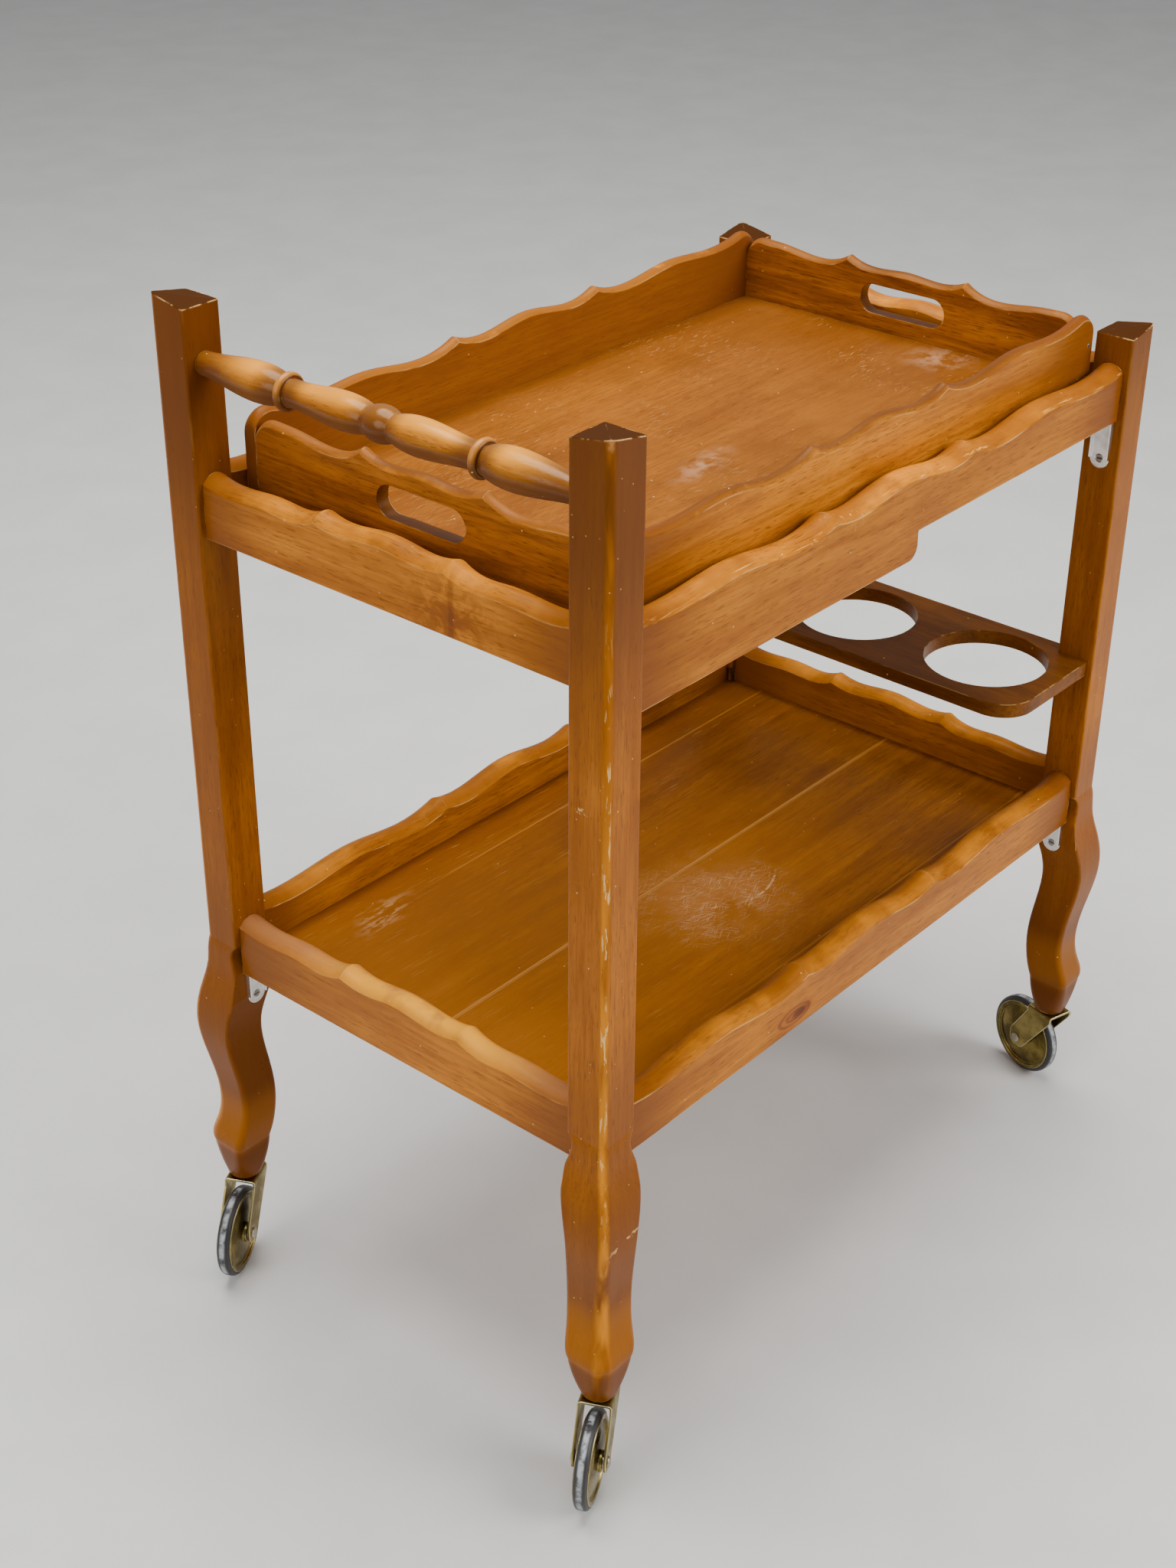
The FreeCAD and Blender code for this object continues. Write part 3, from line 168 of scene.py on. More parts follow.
def stretched(tree, place, scale, rotation=(0, 0, 0)):
    return put(tree, "Mapping", {"Vector": place, "Scale": scale, "Rotation": rotation}).outputs[0]


# %% [markdown]
# The floor is only a plain pale ground for the picture. A single large plane is enough, with a faint
# mottling so that it isn't perfectly even.

# %% pale floor
FLOOR_SIZE = 30
FLOOR_GREY = (0.60, 0.60, 0.59)
FLOOR_PALE = (0.64, 0.64, 0.63)

bpy.ops.mesh.primitive_plane_add(size=FLOOR_SIZE, location=(0, 0, 0))
floor = bpy.context.object
floor.name = "pale_floor"
floor_paint, tree, shader = new_material("pale_floor_paint")
shader.inputs["Roughness"].default_value = 0.75
floor_spot = put(tree, "TexCoord").outputs["Object"]
mottling = remap(tree, noise(tree, floor_spot, scale=9, detail=4), 0.3, 0.7)
tree.links.new(blend_colour(tree, mottling, FLOOR_GREY, FLOOR_PALE), shader.inputs["Base Color"])
floor.data.materials.append(floor_paint)
print("floor:", FLOOR_SIZE, "m square")

# %% [markdown]
# All the timber of the cart is stained amber-brown and varnished. Pictures of wood could carry the grain,
# but they repeat and need unwrapping, so the grain is noise that is stretched along each board: a broad
# figure, narrow streaks and short dark pores. It reads Object coordinates, so it runs through a board as
# real grain does. A finish is then built up as a polisher would: the stained wood first, then darker or
# paler layers where the real one has them. This small class keeps the graph of one finish, so each layer is
# a single line in the cells below: its colour, its strength and the masks that limit it.

# %% stained wood, layer by layer
ALONG = {"x": (0, 0, 0), "y": (0, 0, -math.pi / 2), "z": (0, math.pi / 2, 0)}
FIGURE_STRETCH = (5, 60, 60)
STREAK_STRETCH = (18, 380, 380)
PORE_STRETCH = (90, 1300, 1300)
PORE_DEPTH = 0.35


def scaled(parts, factor):
    return tuple(factor * part for part in parts)


class StainedWood:
    def __init__(self, name, grain, deep, base, glow, waviness=0.4):
        self.material, self.tree, self.shader = new_material(name)
        where = put(self.tree, "TexCoord")
        self.place = where.outputs["Object"]
        self.x, self.y, self.z = put(self.tree, "SeparateXYZ", {0: self.place}).outputs
        facing = put(self.tree, "SeparateXYZ", {0: where.outputs["Normal"]})
        self.facing_x, self.facing_y, self.facing_z = facing.outputs
        self.spot = stretched(self.tree, self.place, (1, 1, 1), ALONG[grain])
        self.along = put(self.tree, "SeparateXYZ", {0: self.spot}).outputs[0]
        broad = stretched(self.tree, self.spot, FIGURE_STRETCH)
        figure = noise(self.tree, broad, scale=1, detail=5, roughness=0.6, distortion=waviness)
        narrow = stretched(self.tree, self.spot, STREAK_STRETCH)
        self.streaks = noise(self.tree, narrow, scale=1, detail=3, roughness=0.6)
        finest = stretched(self.tree, self.spot, PORE_STRETCH)
        self.pores = remap(self.tree, noise(self.tree, finest, scale=1, detail=2), 0.56, 0.68)
        self.clouds = noise(self.tree, self.spot, scale=9, detail=4, roughness=0.6)
        self.matt = None
        self.colour = self.stain(figure, deep, base, glow)
        self.layer(deep, 0.5, remap(self.tree, self.streaks, 0.42, 0.64))
        self.layer(scaled(deep, PORE_DEPTH), 0.6, self.pores)
        self.layer(deep, 0.45, remap(self.tree, self.clouds, 0.55, 0.32))
        self.layer(glow, 0.45, remap(self.tree, self.clouds, 0.52, 0.72))

    def stain(self, figure, deep, base, glow):
        ramp = put(self.tree, "ValToRGB", {"Fac": figure})
        first, last = ramp.color_ramp.elements
        first.position = 0.28
        first.color = (*deep, 1)
        last.position = 0.74
        last.color = (*glow, 1)
        ramp.color_ramp.elements.new(0.5).color = (*base, 1)
        return ramp.outputs[0]

    def both(self, *masks):
        product = masks[0]
        for mask in masks[1:]:
            product = math_node(self.tree, "MULTIPLY", product, mask)
        return product

    def layer(self, colour, share, *masks):
        strength = math_node(self.tree, "MULTIPLY", self.both(*masks), share)
        self.colour = blend_colour(self.tree, strength, self.colour, colour)


# %% [markdown]
# A layer shows only where its mask is 1. On the real cart, wear sits at certain heights, on faces that look
# a certain way and in patches. It could be painted by hand into an image, but a mask that is worked out
# from the place or the normal of each point stays sharp at any distance and needs no image. The masks beyond
# and from_middle take the value where they are 0 and the value where they are 1, in either order. The masks
# near, patch and ring take a middle and how far they reach from it.

# %% masks by place and direction
NEAR_CORE = 0.3


class PlacedWood(StainedWood):
    def beyond(self, value, none, full):
        return remap(self.tree, value, none, full)

    def from_middle(self, value, none, full):
        return remap(self.tree, math_node(self.tree, "ABSOLUTE", value), none, full)

    def near(self, value, middle, reach):
        gap = math_node(self.tree, "SUBTRACT", value, middle)
        return self.from_middle(gap, reach, reach * NEAR_CORE)

    def patch(self, middle, reach, turn=0.0, inner=0.35):
        local = put(
            self.tree,
            "Mapping",
            {"Vector": self.place, "Location": middle, "Rotation": (0, 0, turn), "Scale": reach},
            vector_type="TEXTURE",
        )
        away = vector_node(self.tree, "LENGTH", local.outputs[0])["Value"]
        return remap(self.tree, away, 1.0, inner)

    def ring(self, middle, radius, width):
        local = vector_node(self.tree, "SUBTRACT", self.place, middle)["Vector"]
        away = vector_node(self.tree, "LENGTH", local)["Value"]
        return self.near(away, radius, width)


# %% [markdown]
# Real wear is also irregular: a rubbed edge is broken, scratches cross, and small chips are scattered.
# Noise gives the first two. For flecks, a Voronoi texture divides the wood into cells, and a few cells,
# chosen by their own random colour, get a small dot each. The texture's colours are fixed, so every run
# gives the same flecks.

# %% broken, scratched and flecked masks
FLECK_CORE = 0.4


class WornWood(PlacedWood):
    def broken(self, scale, none, full, stretch=(1, 1, 1)):
        uneven = noise(self.tree, stretched(self.tree, self.spot, stretch), scale, detail=3, roughness=0.6)
        return remap(self.tree, uneven, none, full)

    def scratches(self, turn, none, full, length, width):
        turned = stretched(self.tree, self.place, (1, 1, 1), (0, 0, turn))
        drawn_out = stretched(self.tree, turned, (length, width, width))
        lines = noise(self.tree, drawn_out, scale=1, detail=1, roughness=0.4)
        return remap(self.tree, lines, none, full)

    def flecks(self, cell, size, share):
        cells = put(self.tree, "TexVoronoi", {"Vector": self.spot, "Scale": 1 / cell, "Randomness": 1.0})
        chosen = put(self.tree, "SeparateColor", {0: cells.outputs["Color"]}).outputs[0]
        return self.both(
            remap(self.tree, cells.outputs["Distance"], size / cell, FLECK_CORE * size / cell),
            remap(self.tree, chosen, 1 - share, 1.001 - share),
        )


# %% [markdown]
# The varnish comes last. Sharp edges of the cart are slightly rounded and rubbed through to pale wood in
# short dashes. A bevel could be modelled, but the solids stay as they are, so the Bevel node softens the
# normal near an edge. Where the softened normal leaves the true one, there is an edge, and that is the mask
# for the wear. The gloss is cloudy, rubbed places are duller, and the grain gives a fine relief.

# %% varnish over worn edges
CREAM = (0.80, 0.48, 0.17)
EDGE_RADIUS = 0.0013
DASH_STRETCH = (16, 90, 90)
VARNISH_TINT = (1.0, 0.62, 0.30, 1)


def soft_edge(tree, radius, none, full):
    softened = put(tree, "Bevel", {"Radius": radius}, samples=6).outputs["Normal"]
    true_normal = put(tree, "NewGeometry").outputs["Normal"]
    agreement = vector_node(tree, "DOT_PRODUCT", true_normal, softened)["Value"]
    return softened, remap(tree, agreement, none, full)


class Timber(WornWood):
    def varnish(self, gloss, edge_wear, sheen=0.24, tint=VARNISH_TINT):
        softened, edge = soft_edge(self.tree, EDGE_RADIUS, 0.992, 0.955)
        rubbed = self.both(edge, self.broken(1, 0.46, 0.58, DASH_STRETCH))
        self.layer(CREAM, edge_wear, rubbed)
        self.layer(CREAM, 0.75, self.flecks(cell=0.010, size=0.0008, share=0.22))
        self.tree.links.new(self.colour, self.shader.inputs["Base Color"])
        self.tree.links.new(self.dullness(gloss, rubbed), self.shader.inputs["Roughness"])
        self.tree.links.new(self.relief(softened), self.shader.inputs["Normal"])
        self.shader.inputs["Specular IOR Level"].default_value = sheen
        self.shader.inputs["Specular Tint"].default_value = tint
        print("finish:", self.material.name, "with", len(self.tree.nodes), "nodes")
        return self.material

    def dullness(self, gloss, rubbed):
        smear = remap(self.tree, self.clouds, 0.3, 0.7, gloss - 0.07, gloss + 0.09)
        dulled = math_node(self.tree, "ADD", smear, math_node(self.tree, "MULTIPLY", rubbed, 0.2))
        if self.matt:
            matt = math_node(self.tree, "MULTIPLY", self.matt, 0.85)
            dulled = math_node(self.tree, "MAXIMUM", dulled, matt)
        return dulled

    def relief(self, softened):
        ridges = math_node(self.tree, "MULTIPLY", self.streaks, 0.5)
        grooves = math_node(self.tree, "MULTIPLY", self.pores, -0.5)
        height = math_node(self.tree, "ADD", ridges, grooves)
        sockets = {"Strength": 0.15, "Distance": 0.0004, "Height": height, "Normal": softened}
        return put(self.tree, "Bump", sockets).outputs[0]


# %% [markdown]
# Rails carry most of the light on their rounded crowns. The crowns are gold, partly polish from hands
# and trays and partly a painted highlight where they face up, with duller stretches between. The crowns
# could be separate faces with a material of their own, but the change is gradual, so the upward part of the
# normal blends it in. Both ends fade to a deeper brown near the posts, partly toner and partly painted shade
# where rail meets post.

# %% rails in general
GOLD = (0.84, 0.290, 0.006)
TONER_AND_SHADE = (0.17, 0.045, 0.005)
DULL_CROWN = (0.27, 0.080, 0.005)
RAIL_TONES = ((0.29, 0.080, 0.005), (0.50, 0.163, 0.010), (0.66, 0.235, 0.018))


def rail_timber(name, grain, half_length, depth, crown_gold, crown_shade):
    deep, base, glow = [scaled(tone, depth) for tone in RAIL_TONES]
    rail = Timber(name, grain, deep, base, glow)
    crown = rail.beyond(rail.facing_z, 0.35, 0.95)
    # gold on the upward crown: partly polish, partly a painted highlight
    rail.layer(GOLD, crown_gold, crown, rail.broken(22, 0.40, 0.66))
    rail.layer(DULL_CROWN, crown_shade, crown, rail.broken(16, 0.54, 0.36))
    # partly toner, partly painted shade: both ends darken where the rail meets a post
    rail.layer(TONER_AND_SHADE, 0.8, rail.from_middle(rail.along, half_length - 0.075, half_length - 0.005))
    return rail


# %% [markdown]
# The front shelf rail has a small knot, and the rail under the handle has a dark streak across its figure,
# where a branch once met the trunk. A Wave texture makes rings too, but its rings never end. A sine of the
# distance from one point, inside a soft patch, gives a knot with an edge and a dark heart.

# %% a knot and a branch streak
KNOT = (0.13, 0.028, 0.004)
KNOT_EDGE = (0.30, 0.075, 0.006)
KNOT_HEART = (0.085, 0.016, 0.003)
HEART_SHIFT = 0.006
HEART_SHARE = 0.55
BRANCH_STAIN = (0.21, 0.054, 0.005)


def knot(timber, middle, reach, turns):
    inward = timber.patch(middle, reach, inner=0.0)
    uneven = noise(timber.tree, timber.place, scale=120, detail=2)
    wobble = math_node(timber.tree, "MULTIPLY", uneven, 3.0)
    phase = math_node(timber.tree, "ADD", math_node(timber.tree, "MULTIPLY", inward, turns), wobble)
    rings = remap(timber.tree, math_node(timber.tree, "SINE", phase), -0.5, 0.8)
    around = timber.beyond(inward, 0.0, 0.35)
    timber.layer(KNOT_EDGE, 0.5, around)
    timber.layer(KNOT, 0.6, around, rings)
    heart_place = (middle[0] + HEART_SHIFT, middle[1], middle[2])
    heart = timber.patch(heart_place, scaled(reach, HEART_SHARE), inner=0.2)
    timber.layer(KNOT_HEART, 0.9, heart, timber.broken(90, 0.25, 0.5))


def branch_streak(timber, middle, reach):
    stained = timber.patch(middle, reach, inner=0.0)
    curls = noise(timber.tree, timber.place, scale=65, detail=3, roughness=0.6, distortion=1.6)
    timber.layer(BRANCH_STAIN, 0.85, stained, timber.beyond(curls, 0.40, 0.62))
    uneven = noise(timber.tree, timber.place, scale=70, detail=2)
    wobble = math_node(timber.tree, "MULTIPLY", uneven, 0.006)
    drift = math_node(timber.tree, "ADD", timber.y, wobble)
    line = timber.near(drift, middle[1] + 0.003, 0.0034)
    timber.layer(KNOT, 0.55, line, stained)


# %% [markdown]
# The long rails get the knot, a few pale strokes on the front one, and a pale line along its crest, partly
# wear and partly a painted highlight. The line could be a thin strip of mesh, but a narrow band of y on
# upward faces follows the scallops by itself.

# %% long rails
KNOT_PLACE = (-0.092, -0.179, 0.2765)
KNOT_REACH = (0.030, 0.012, 0.011)
KNOT_TURNS = 16
STROKES_PLACE = (-0.075, -0.179, 0.632)
STROKES_REACH = (0.045, 0.02, 0.018)
CREST_Y = -0.1772
WORN_AND_HIGHLIT_CREST = (0.90, 0.46, 0.10)

long_rails = rail_timber(
    "rail_timber_along", "x", half_length=0.27, depth=0.84, crown_gold=0.42, crown_shade=0.7
)
knot(long_rails, KNOT_PLACE, KNOT_REACH, KNOT_TURNS)
strokes = long_rails.broken(1, 0.66, 0.71, (420, 300, 150))
long_rails.layer(CREAM, 0.6, long_rails.patch(STROKES_PLACE, STROKES_REACH), strokes)
# pale crest line: partly wear, partly a painted highlight
long_rails.layer(
    WORN_AND_HIGHLIT_CREST,
    0.6,
    long_rails.near(long_rails.y, CREST_Y, 0.0015),
    long_rails.beyond(long_rails.facing_z, 0.15, 0.5),
    long_rails.beyond(long_rails.z, 0.5, 0.6),
    long_rails.broken(1, 0.54, 0.64, (13, 300, 300)),
)
rail_along_x = long_rails.varnish(gloss=0.36, edge_wear=0.8, sheen=0.14)

# %% [markdown]
# The short rails get the branch streak. The one at the handle end of the shelf has a painted highlight on
# its crown, bright gold in its middle, and the shelf's short rails get painted shade towards the back. Both
# pairs share one material, because height and place alone tell the four rails apart.

# %% short rails
BRANCH_PLACE = (-0.295, -0.060, 0.612)
BRANCH_REACH = (0.03, 0.055, 0.045)
PAINTED_LIGHT_CROWN = (0.50, 0.215, 0.080)
PAINTED_HIGHLIGHT_CROWN = (1.0, 0.44, 0.02)
PAINTED_SHADE_BACK = (0.20, 0.056, 0.005)

short_rails = rail_timber(
    "rail_timber_across", "y", half_length=0.155, depth=0.97, crown_gold=0.7, crown_shade=0.4
)
branch_streak(short_rails, BRANCH_PLACE, BRANCH_REACH)
by_the_shelf = short_rails.beyond(short_rails.z, 0.45, 0.35)
highlit_shelf_crown = short_rails.both(
    short_rails.beyond(short_rails.facing_z, 0.55, 0.98),
    by_the_shelf,
    short_rails.beyond(short_rails.x, 0.0, -0.1),
)
# painted light: paler crown on the handle-end shelf rail
short_rails.layer(PAINTED_LIGHT_CROWN, 0.55, highlit_shelf_crown)
upright = short_rails.beyond(short_rails.facing_z, 0.5, 0.2)
# painted shade on the back part of the shelf's short rails
short_rails.layer(PAINTED_SHADE_BACK, 0.62, by_the_shelf, upright, short_rails.beyond(short_rails.y, 0.0, 0.13))
crown_middle = short_rails.near(short_rails.y, -0.015, 0.115)
# painted highlight: bright gold in the middle of that crown
short_rails.layer(PAINTED_HIGHLIGHT_CROWN, 0.9, highlit_shelf_crown, crown_middle, short_rails.broken(26, 0.30, 0.52))
rail_along_y = short_rails.varnish(gloss=0.34, edge_wear=0.4, sheen=0.18)

# %% [markdown]
# The posts are darker at the top and down the legs, where the toner is thick. At the shelf they darken too,
# partly toner and partly painted shade where the rails meet them. Painted shade makes the feet at the bottle
# end darkest and darkens the throat of each leg and some side faces of the two handle-end posts, and the
# ankle is a little paler. A gradient texture could do this, but the height of each point is already a
# gradient.

# %% posts and legs: stain, toner and painted shade
POST_TONES = ((0.24, 0.065, 0.005), (0.38, 0.118, 0.008), (0.47, 0.158, 0.012))
POST_TOP_TONER = (0.110, 0.030, 0.004)
LEG_TONER = (0.17, 0.047, 0.004)
FOOT_PAINTED_SHADE = (0.11, 0.030, 0.003)
DEEP_PAINTED_SHADE = (0.15, 0.040, 0.003)
THROAT_PAINTED_SHADE = (0.16, 0.042, 0.003)
ANKLE = (0.62, 0.210, 0.012)
SHELF_LEVEL = 0.275
THROAT_LEVEL = 0.172
ANKLE_LEVEL = 0.130

posts = Timber("post_timber", "z", *POST_TONES)
handle_end = posts.beyond(posts.x, 0.0, -0.1)
bottle_end = posts.beyond(posts.x, 0.0, 0.1)
posts.layer(POST_TOP_TONER, 0.87, posts.beyond(posts.z, 0.52, 0.70))
# partly toner, partly painted shade where the shelf rails meet the posts
posts.layer(TONER_AND_SHADE, 0.42, posts.near(posts.z, SHELF_LEVEL, 0.10))
posts.layer(LEG_TONER, 0.62, posts.beyond(posts.z, 0.27, 0.22))
# painted shade on the bottle-end feet
posts.layer(FOOT_PAINTED_SHADE, 0.72, bottle_end, posts.beyond(posts.z, 0.20, 0.14))
at_back = posts.beyond(posts.y, 0.0, 0.1)
# painted shade on the outer end face of the back handle-end post
posts.layer(DEEP_PAINTED_SHADE, 0.42, handle_end, at_back, posts.beyond(posts.facing_x, -0.3, -0.8))
lower_part = posts.beyond(posts.z, 0.40, 0.28)
# painted shade on the front-facing faces of the handle-end posts, low down
posts.layer(DEEP_PAINTED_SHADE, 0.40, handle_end, posts.beyond(posts.facing_y, -0.3, -0.8), lower_part)
# painted shade in the throat of each leg
posts.layer(THROAT_PAINTED_SHADE, 0.38, posts.near(posts.z, THROAT_LEVEL, 0.045))
posts.layer(ANKLE, 0.22, posts.near(posts.z, ANKLE_LEVEL, 0.034))
print("posts with toner:", len(posts.tree.nodes), "nodes")

# %% [markdown]
# The rounded outer corner is what people knock against. It is orange-brown above and gold lower down,
# partly rubbed wear and partly a painted highlight, and a run of chips along it shows bare wood. The corner
# could be selected face by face, but it is the only surface that faces diagonally outward, so the normal
# finds it on all four posts, also down the curved leg. Below the crease above each caster, painted shade
# darkens all of this. The near leg has a long slanting nick.

# %% posts and legs: rubbed corners with painted highlight, chips, painted shade below the crease
HALF_ROOT = 0.7071
RUBBED_AND_HIGHLIT_LOW = (0.70, 0.250, 0.012)
RUBBED_AND_HIGHLIT_HIGH = (0.40, 0.122, 0.005)
PAINTED_SHADE_BELOW_CREASE = (0.12, 0.031, 0.003)
CREASE_LEVELS = (0.1085, 0.1025)
NICK_LEVEL = 0.2702
NICK_SLOPE = 0.2
NICK_PLACE = (-0.288, -0.185, 0.2150)
NICK_REACH = (0.024, 0.03, 0.02)

outward_x = math_node(posts.tree, "MULTIPLY", posts.facing_x, math_node(posts.tree, "SIGN", posts.x))
outward_y = math_node(posts.tree, "MULTIPLY", posts.facing_y, math_node(posts.tree, "SIGN", posts.y))
diagonal = math_node(posts.tree, "MULTIPLY", math_node(posts.tree, "ADD", outward_x, outward_y), HALF_ROOT)
# the corner band: partly rubbed wear, partly a painted highlight
rubbed = posts.both(posts.beyond(diagonal, 0.73, 0.99), posts.broken(1, 0.34, 0.60, (9, 60, 60)))
posts.layer(RUBBED_AND_HIGHLIT_LOW, 0.9, rubbed, posts.beyond(posts.z, 0.60, 0.44))
posts.layer(RUBBED_AND_HIGHLIT_HIGH, 0.85, rubbed, posts.beyond(posts.z, 0.44, 0.60))
posts.layer(CREAM, 0.6, posts.flecks(cell=0.0065, size=0.0006, share=0.20))
chips = posts.both(posts.near(posts.z, 0.42, 0.26), posts.broken(1, 0.56, 0.60, (60, 420, 420)))
posts.layer(CREAM, 0.95, posts.beyond(diagonal, 0.86, 0.95), chips)
# painted shade below the crease
posts.layer(PAINTED_SHADE_BELOW_CREASE, 0.6, posts.beyond(posts.z, *CREASE_LEVELS))
waver = math_node(posts.tree, "MULTIPLY", noise(posts.tree, posts.place, scale=260, detail=2), 0.006)
slope = math_node(posts.tree, "ADD", math_node(posts.tree, "MULTIPLY", posts.x, NICK_SLOPE), waver)
nick = posts.near(math_node(posts.tree, "SUBTRACT", posts.z, slope), NICK_LEVEL, 0.0016)
posts.layer(CREAM, 0.85, nick, posts.patch(NICK_PLACE, NICK_REACH), posts.broken(170, 0.42, 0.52))
print("posts with worn corners:", len(posts.tree.nodes), "nodes")

# %% [markdown]
# The tops of the posts are end grain, which drinks stain: they are nearly black-brown and matt, with pale
# worn rims. The near post has a chipped corner and two small marks on its outer side. The tall and the low
# posts end at different heights, so each pair has its own rim, limited to its own end of the cart.

# %% posts and legs: tops and marks
END_GRAIN = (0.038, 0.011, 0.002)
PALE_RIM = (0.46, 0.220, 0.080)
TALL_TOP = 0.7567
LOW_TOP = 0.6667
CHIP_PLACE = (-0.300, -0.184, 0.7550)
CHIP_REACH = (0.0045, 0.0045, 0.0085)
POST_MARKS = (((-0.3, -0.149, 0.494), (0.02, 0.009, 0.004)), ((-0.3, -0.165, 0.526), (0.02, 0.007, 0.003)))

posts.matt = posts.beyond(posts.facing_z, 0.75, 0.9)
posts.layer(END_GRAIN, 0.97, posts.matt)
for top, end in ((TALL_TOP, handle_end), (LOW_TOP, bottle_end)):
    rim = posts.both(posts.near(posts.z, top, 0.0028), posts.beyond(posts.facing_z, 0.7, 0.3))
    posts.layer(PALE_RIM, 0.7, rim, end, posts.broken(70, 0.36, 0.56))
chip = posts.patch(CHIP_PLACE, CHIP_REACH, inner=0.3)
posts.layer(PALE_RIM, 0.8, chip, posts.broken(190, 0.34, 0.50))
for middle, reach in POST_MARKS:
    posts.layer(CREAM, 0.7, posts.patch(middle, reach), posts.broken(420, 0.5, 0.58))
post_timber = posts.varnish(gloss=0.34, edge_wear=0.85, sheen=0.14)

# %% [markdown]
# The tray's long sides are golden in the middle and fade to brown towards their ends, partly toner and partly
# painted shade near the corners. Their rims are dark brown, and only here and there rubbed to gold. Painted
# shade darkens the back side, and its rim is paler than the front one's. Front and back could have two
# materials, but y tells them apart, so they share one.

# %% tray sides
TRAY_SIDE_TONES = ((0.30, 0.085, 0.005), (0.55, 0.185, 0.010), (0.70, 0.258, 0.016))
SIDE_RIM = (0.105, 0.033, 0.007)
BACK_RIM = (0.38, 0.120, 0.008)
BACK_WALL_PAINTED_SHADE = (0.17, 0.050, 0.008)

tray_sides = Timber("tray_timber_along", "x", *TRAY_SIDE_TONES)
side_rim = tray_sides.beyond(tray_sides.facing_z, 0.35, 0.95)
back_side = tray_sides.beyond(tray_sides.y, 0.0, 0.05)
tray_sides.layer(SIDE_RIM, 0.88, side_rim)
tray_sides.layer(BACK_RIM, 0.6, side_rim, back_side)
tray_sides.layer(GOLD, 0.5, side_rim, tray_sides.broken(28, 0.60, 0.72))
# partly toner, partly painted shade towards the corners of the tray
tray_sides.layer(TONER_AND_SHADE, 0.82, tray_sides.from_middle(tray_sides.along, 0.13, 0.25))
# painted shade on the upright faces of the back side
tray_sides.layer(BACK_WALL_PAINTED_SHADE, 0.75, back_side, tray_sides.beyond(tray_sides.facing_z, 0.6, 0.2))
tray_along_x = tray_sides.varnish(gloss=0.36, edge_wear=0.5, sheen=0.18)

# %% [markdown]
# The two ends of the tray are darker, with a livelier figure, which a more distorted noise gives. Inside
# the hand slots painted shade darkens the walls, and the sill of each slot is stained by hands. The slot
# walls are the faces near the slot's height that don't look along the cart, so no face has to be picked by
# hand.

# %% tray ends
TRAY_END_TONES = ((0.15, 0.040, 0.004), (0.36, 0.112, 0.009), (0.50, 0.170, 0.015))
END_RIM = (0.21, 0.064, 0.006)
SLOT_PAINTED_SHADE = (0.085, 0.025, 0.004)
SLOT_SILL = (0.070, 0.028, 0.016)
SLOT_MIDDLE = 0.651
SILL_LEVEL = 0.640

tray_ends = Timber("tray_timber_across", "y", *TRAY_END_TONES, waviness=1.3)
end_rim = tray_ends.beyond(tray_ends.facing_z, 0.35, 0.95)
tray_ends.layer(END_RIM, 0.8, end_rim)
tray_ends.layer(GOLD, 0.4, end_rim, tray_ends.broken(24, 0.56, 0.70))
# partly toner, partly painted shade towards the corners of the tray
tray_ends.layer(TONER_AND_SHADE, 0.45, tray_ends.from_middle(tray_ends.along, 0.08, 0.18))
slot = tray_ends.both(
    tray_ends.near(tray_ends.z, SLOT_MIDDLE, 0.036),
    tray_ends.from_middle(tray_ends.y, 0.042, 0.040),
)
# painted shade inside the hand slots
tray_ends.layer(SLOT_PAINTED_SHADE, 0.85, tray_ends.from_middle(tray_ends.facing_x, 0.7, 0.4), slot)
sill = tray_ends.both(
    tray_ends.beyond(tray_ends.facing_z, 0.7, 0.95),
    tray_ends.near(tray_ends.z, SILL_LEVEL, 0.012),
)
tray_ends.layer(SLOT_SILL, 0.8, sill, tray_ends.broken(40, 0.3, 0.6))
tray_along_y = tray_ends.varnish(gloss=0.36, edge_wear=0.5)

# %% [markdown]
# The tray's floor is veneered: amber with fine flecks along the grain and darker clouds, with painted shade
# towards the bottle end and along the walls. Dishes have left light scratches in two directions and two dull
# pale patches. One noise could make all the scratches, but a separate one for each direction lets them cross.

# %% tray floor
VENEER_TONES = ((0.18, 0.050, 0.004), (0.25, 0.078, 0.006), (0.31, 0.102, 0.009))
VENEER_FLECK = (0.46, 0.17, 0.02)
VENEER_CLOUD = (0.14, 0.042, 0.003)
VENEER_SHADE = (0.135, 0.040, 0.006)
DULL_BLOOM = (0.46, 0.25, 0.13)
SCRATCH_TURNS = (0.35, -0.25)
DULL_PATCHES = (((-0.04, -0.045, 0.626), (0.05, 0.017, 1)), ((0.233, -0.05, 0.626), (0.035, 0.035, 1)))

veneer = Timber("tray_floor_veneer", "x", *VENEER_TONES)
veneer.layer(VENEER_FLECK, 0.32, veneer.broken(1, 0.58, 0.70, (70, 1000, 1000)))
veneer.layer(VENEER_CLOUD, 0.5, veneer.broken(8, 0.48, 0.68))
# painted shade towards the bottle end
veneer.layer(VENEER_SHADE, 0.5, veneer.beyond(veneer.x, 0.0, 0.24))
# painted shade along the tray's long walls
veneer.layer(VENEER_SHADE, 0.45, veneer.from_middle(veneer.y, 0.09, 0.145))
for angle in SCRATCH_TURNS:
    strokes = veneer.scratches(angle, 0.69, 0.74, length=75, width=1500)
    veneer.layer(CREAM, 0.42, strokes, veneer.broken(11, 0.48, 0.62))
for middle, reach in DULL_PATCHES:
    veneer.layer(DULL_BLOOM, 0.55, veneer.patch(middle, reach, 0.2, 0.0), veneer.broken(90, 0.36, 0.62))
tray_floor_timber = veneer.varnish(gloss=0.38, edge_wear=0.2)

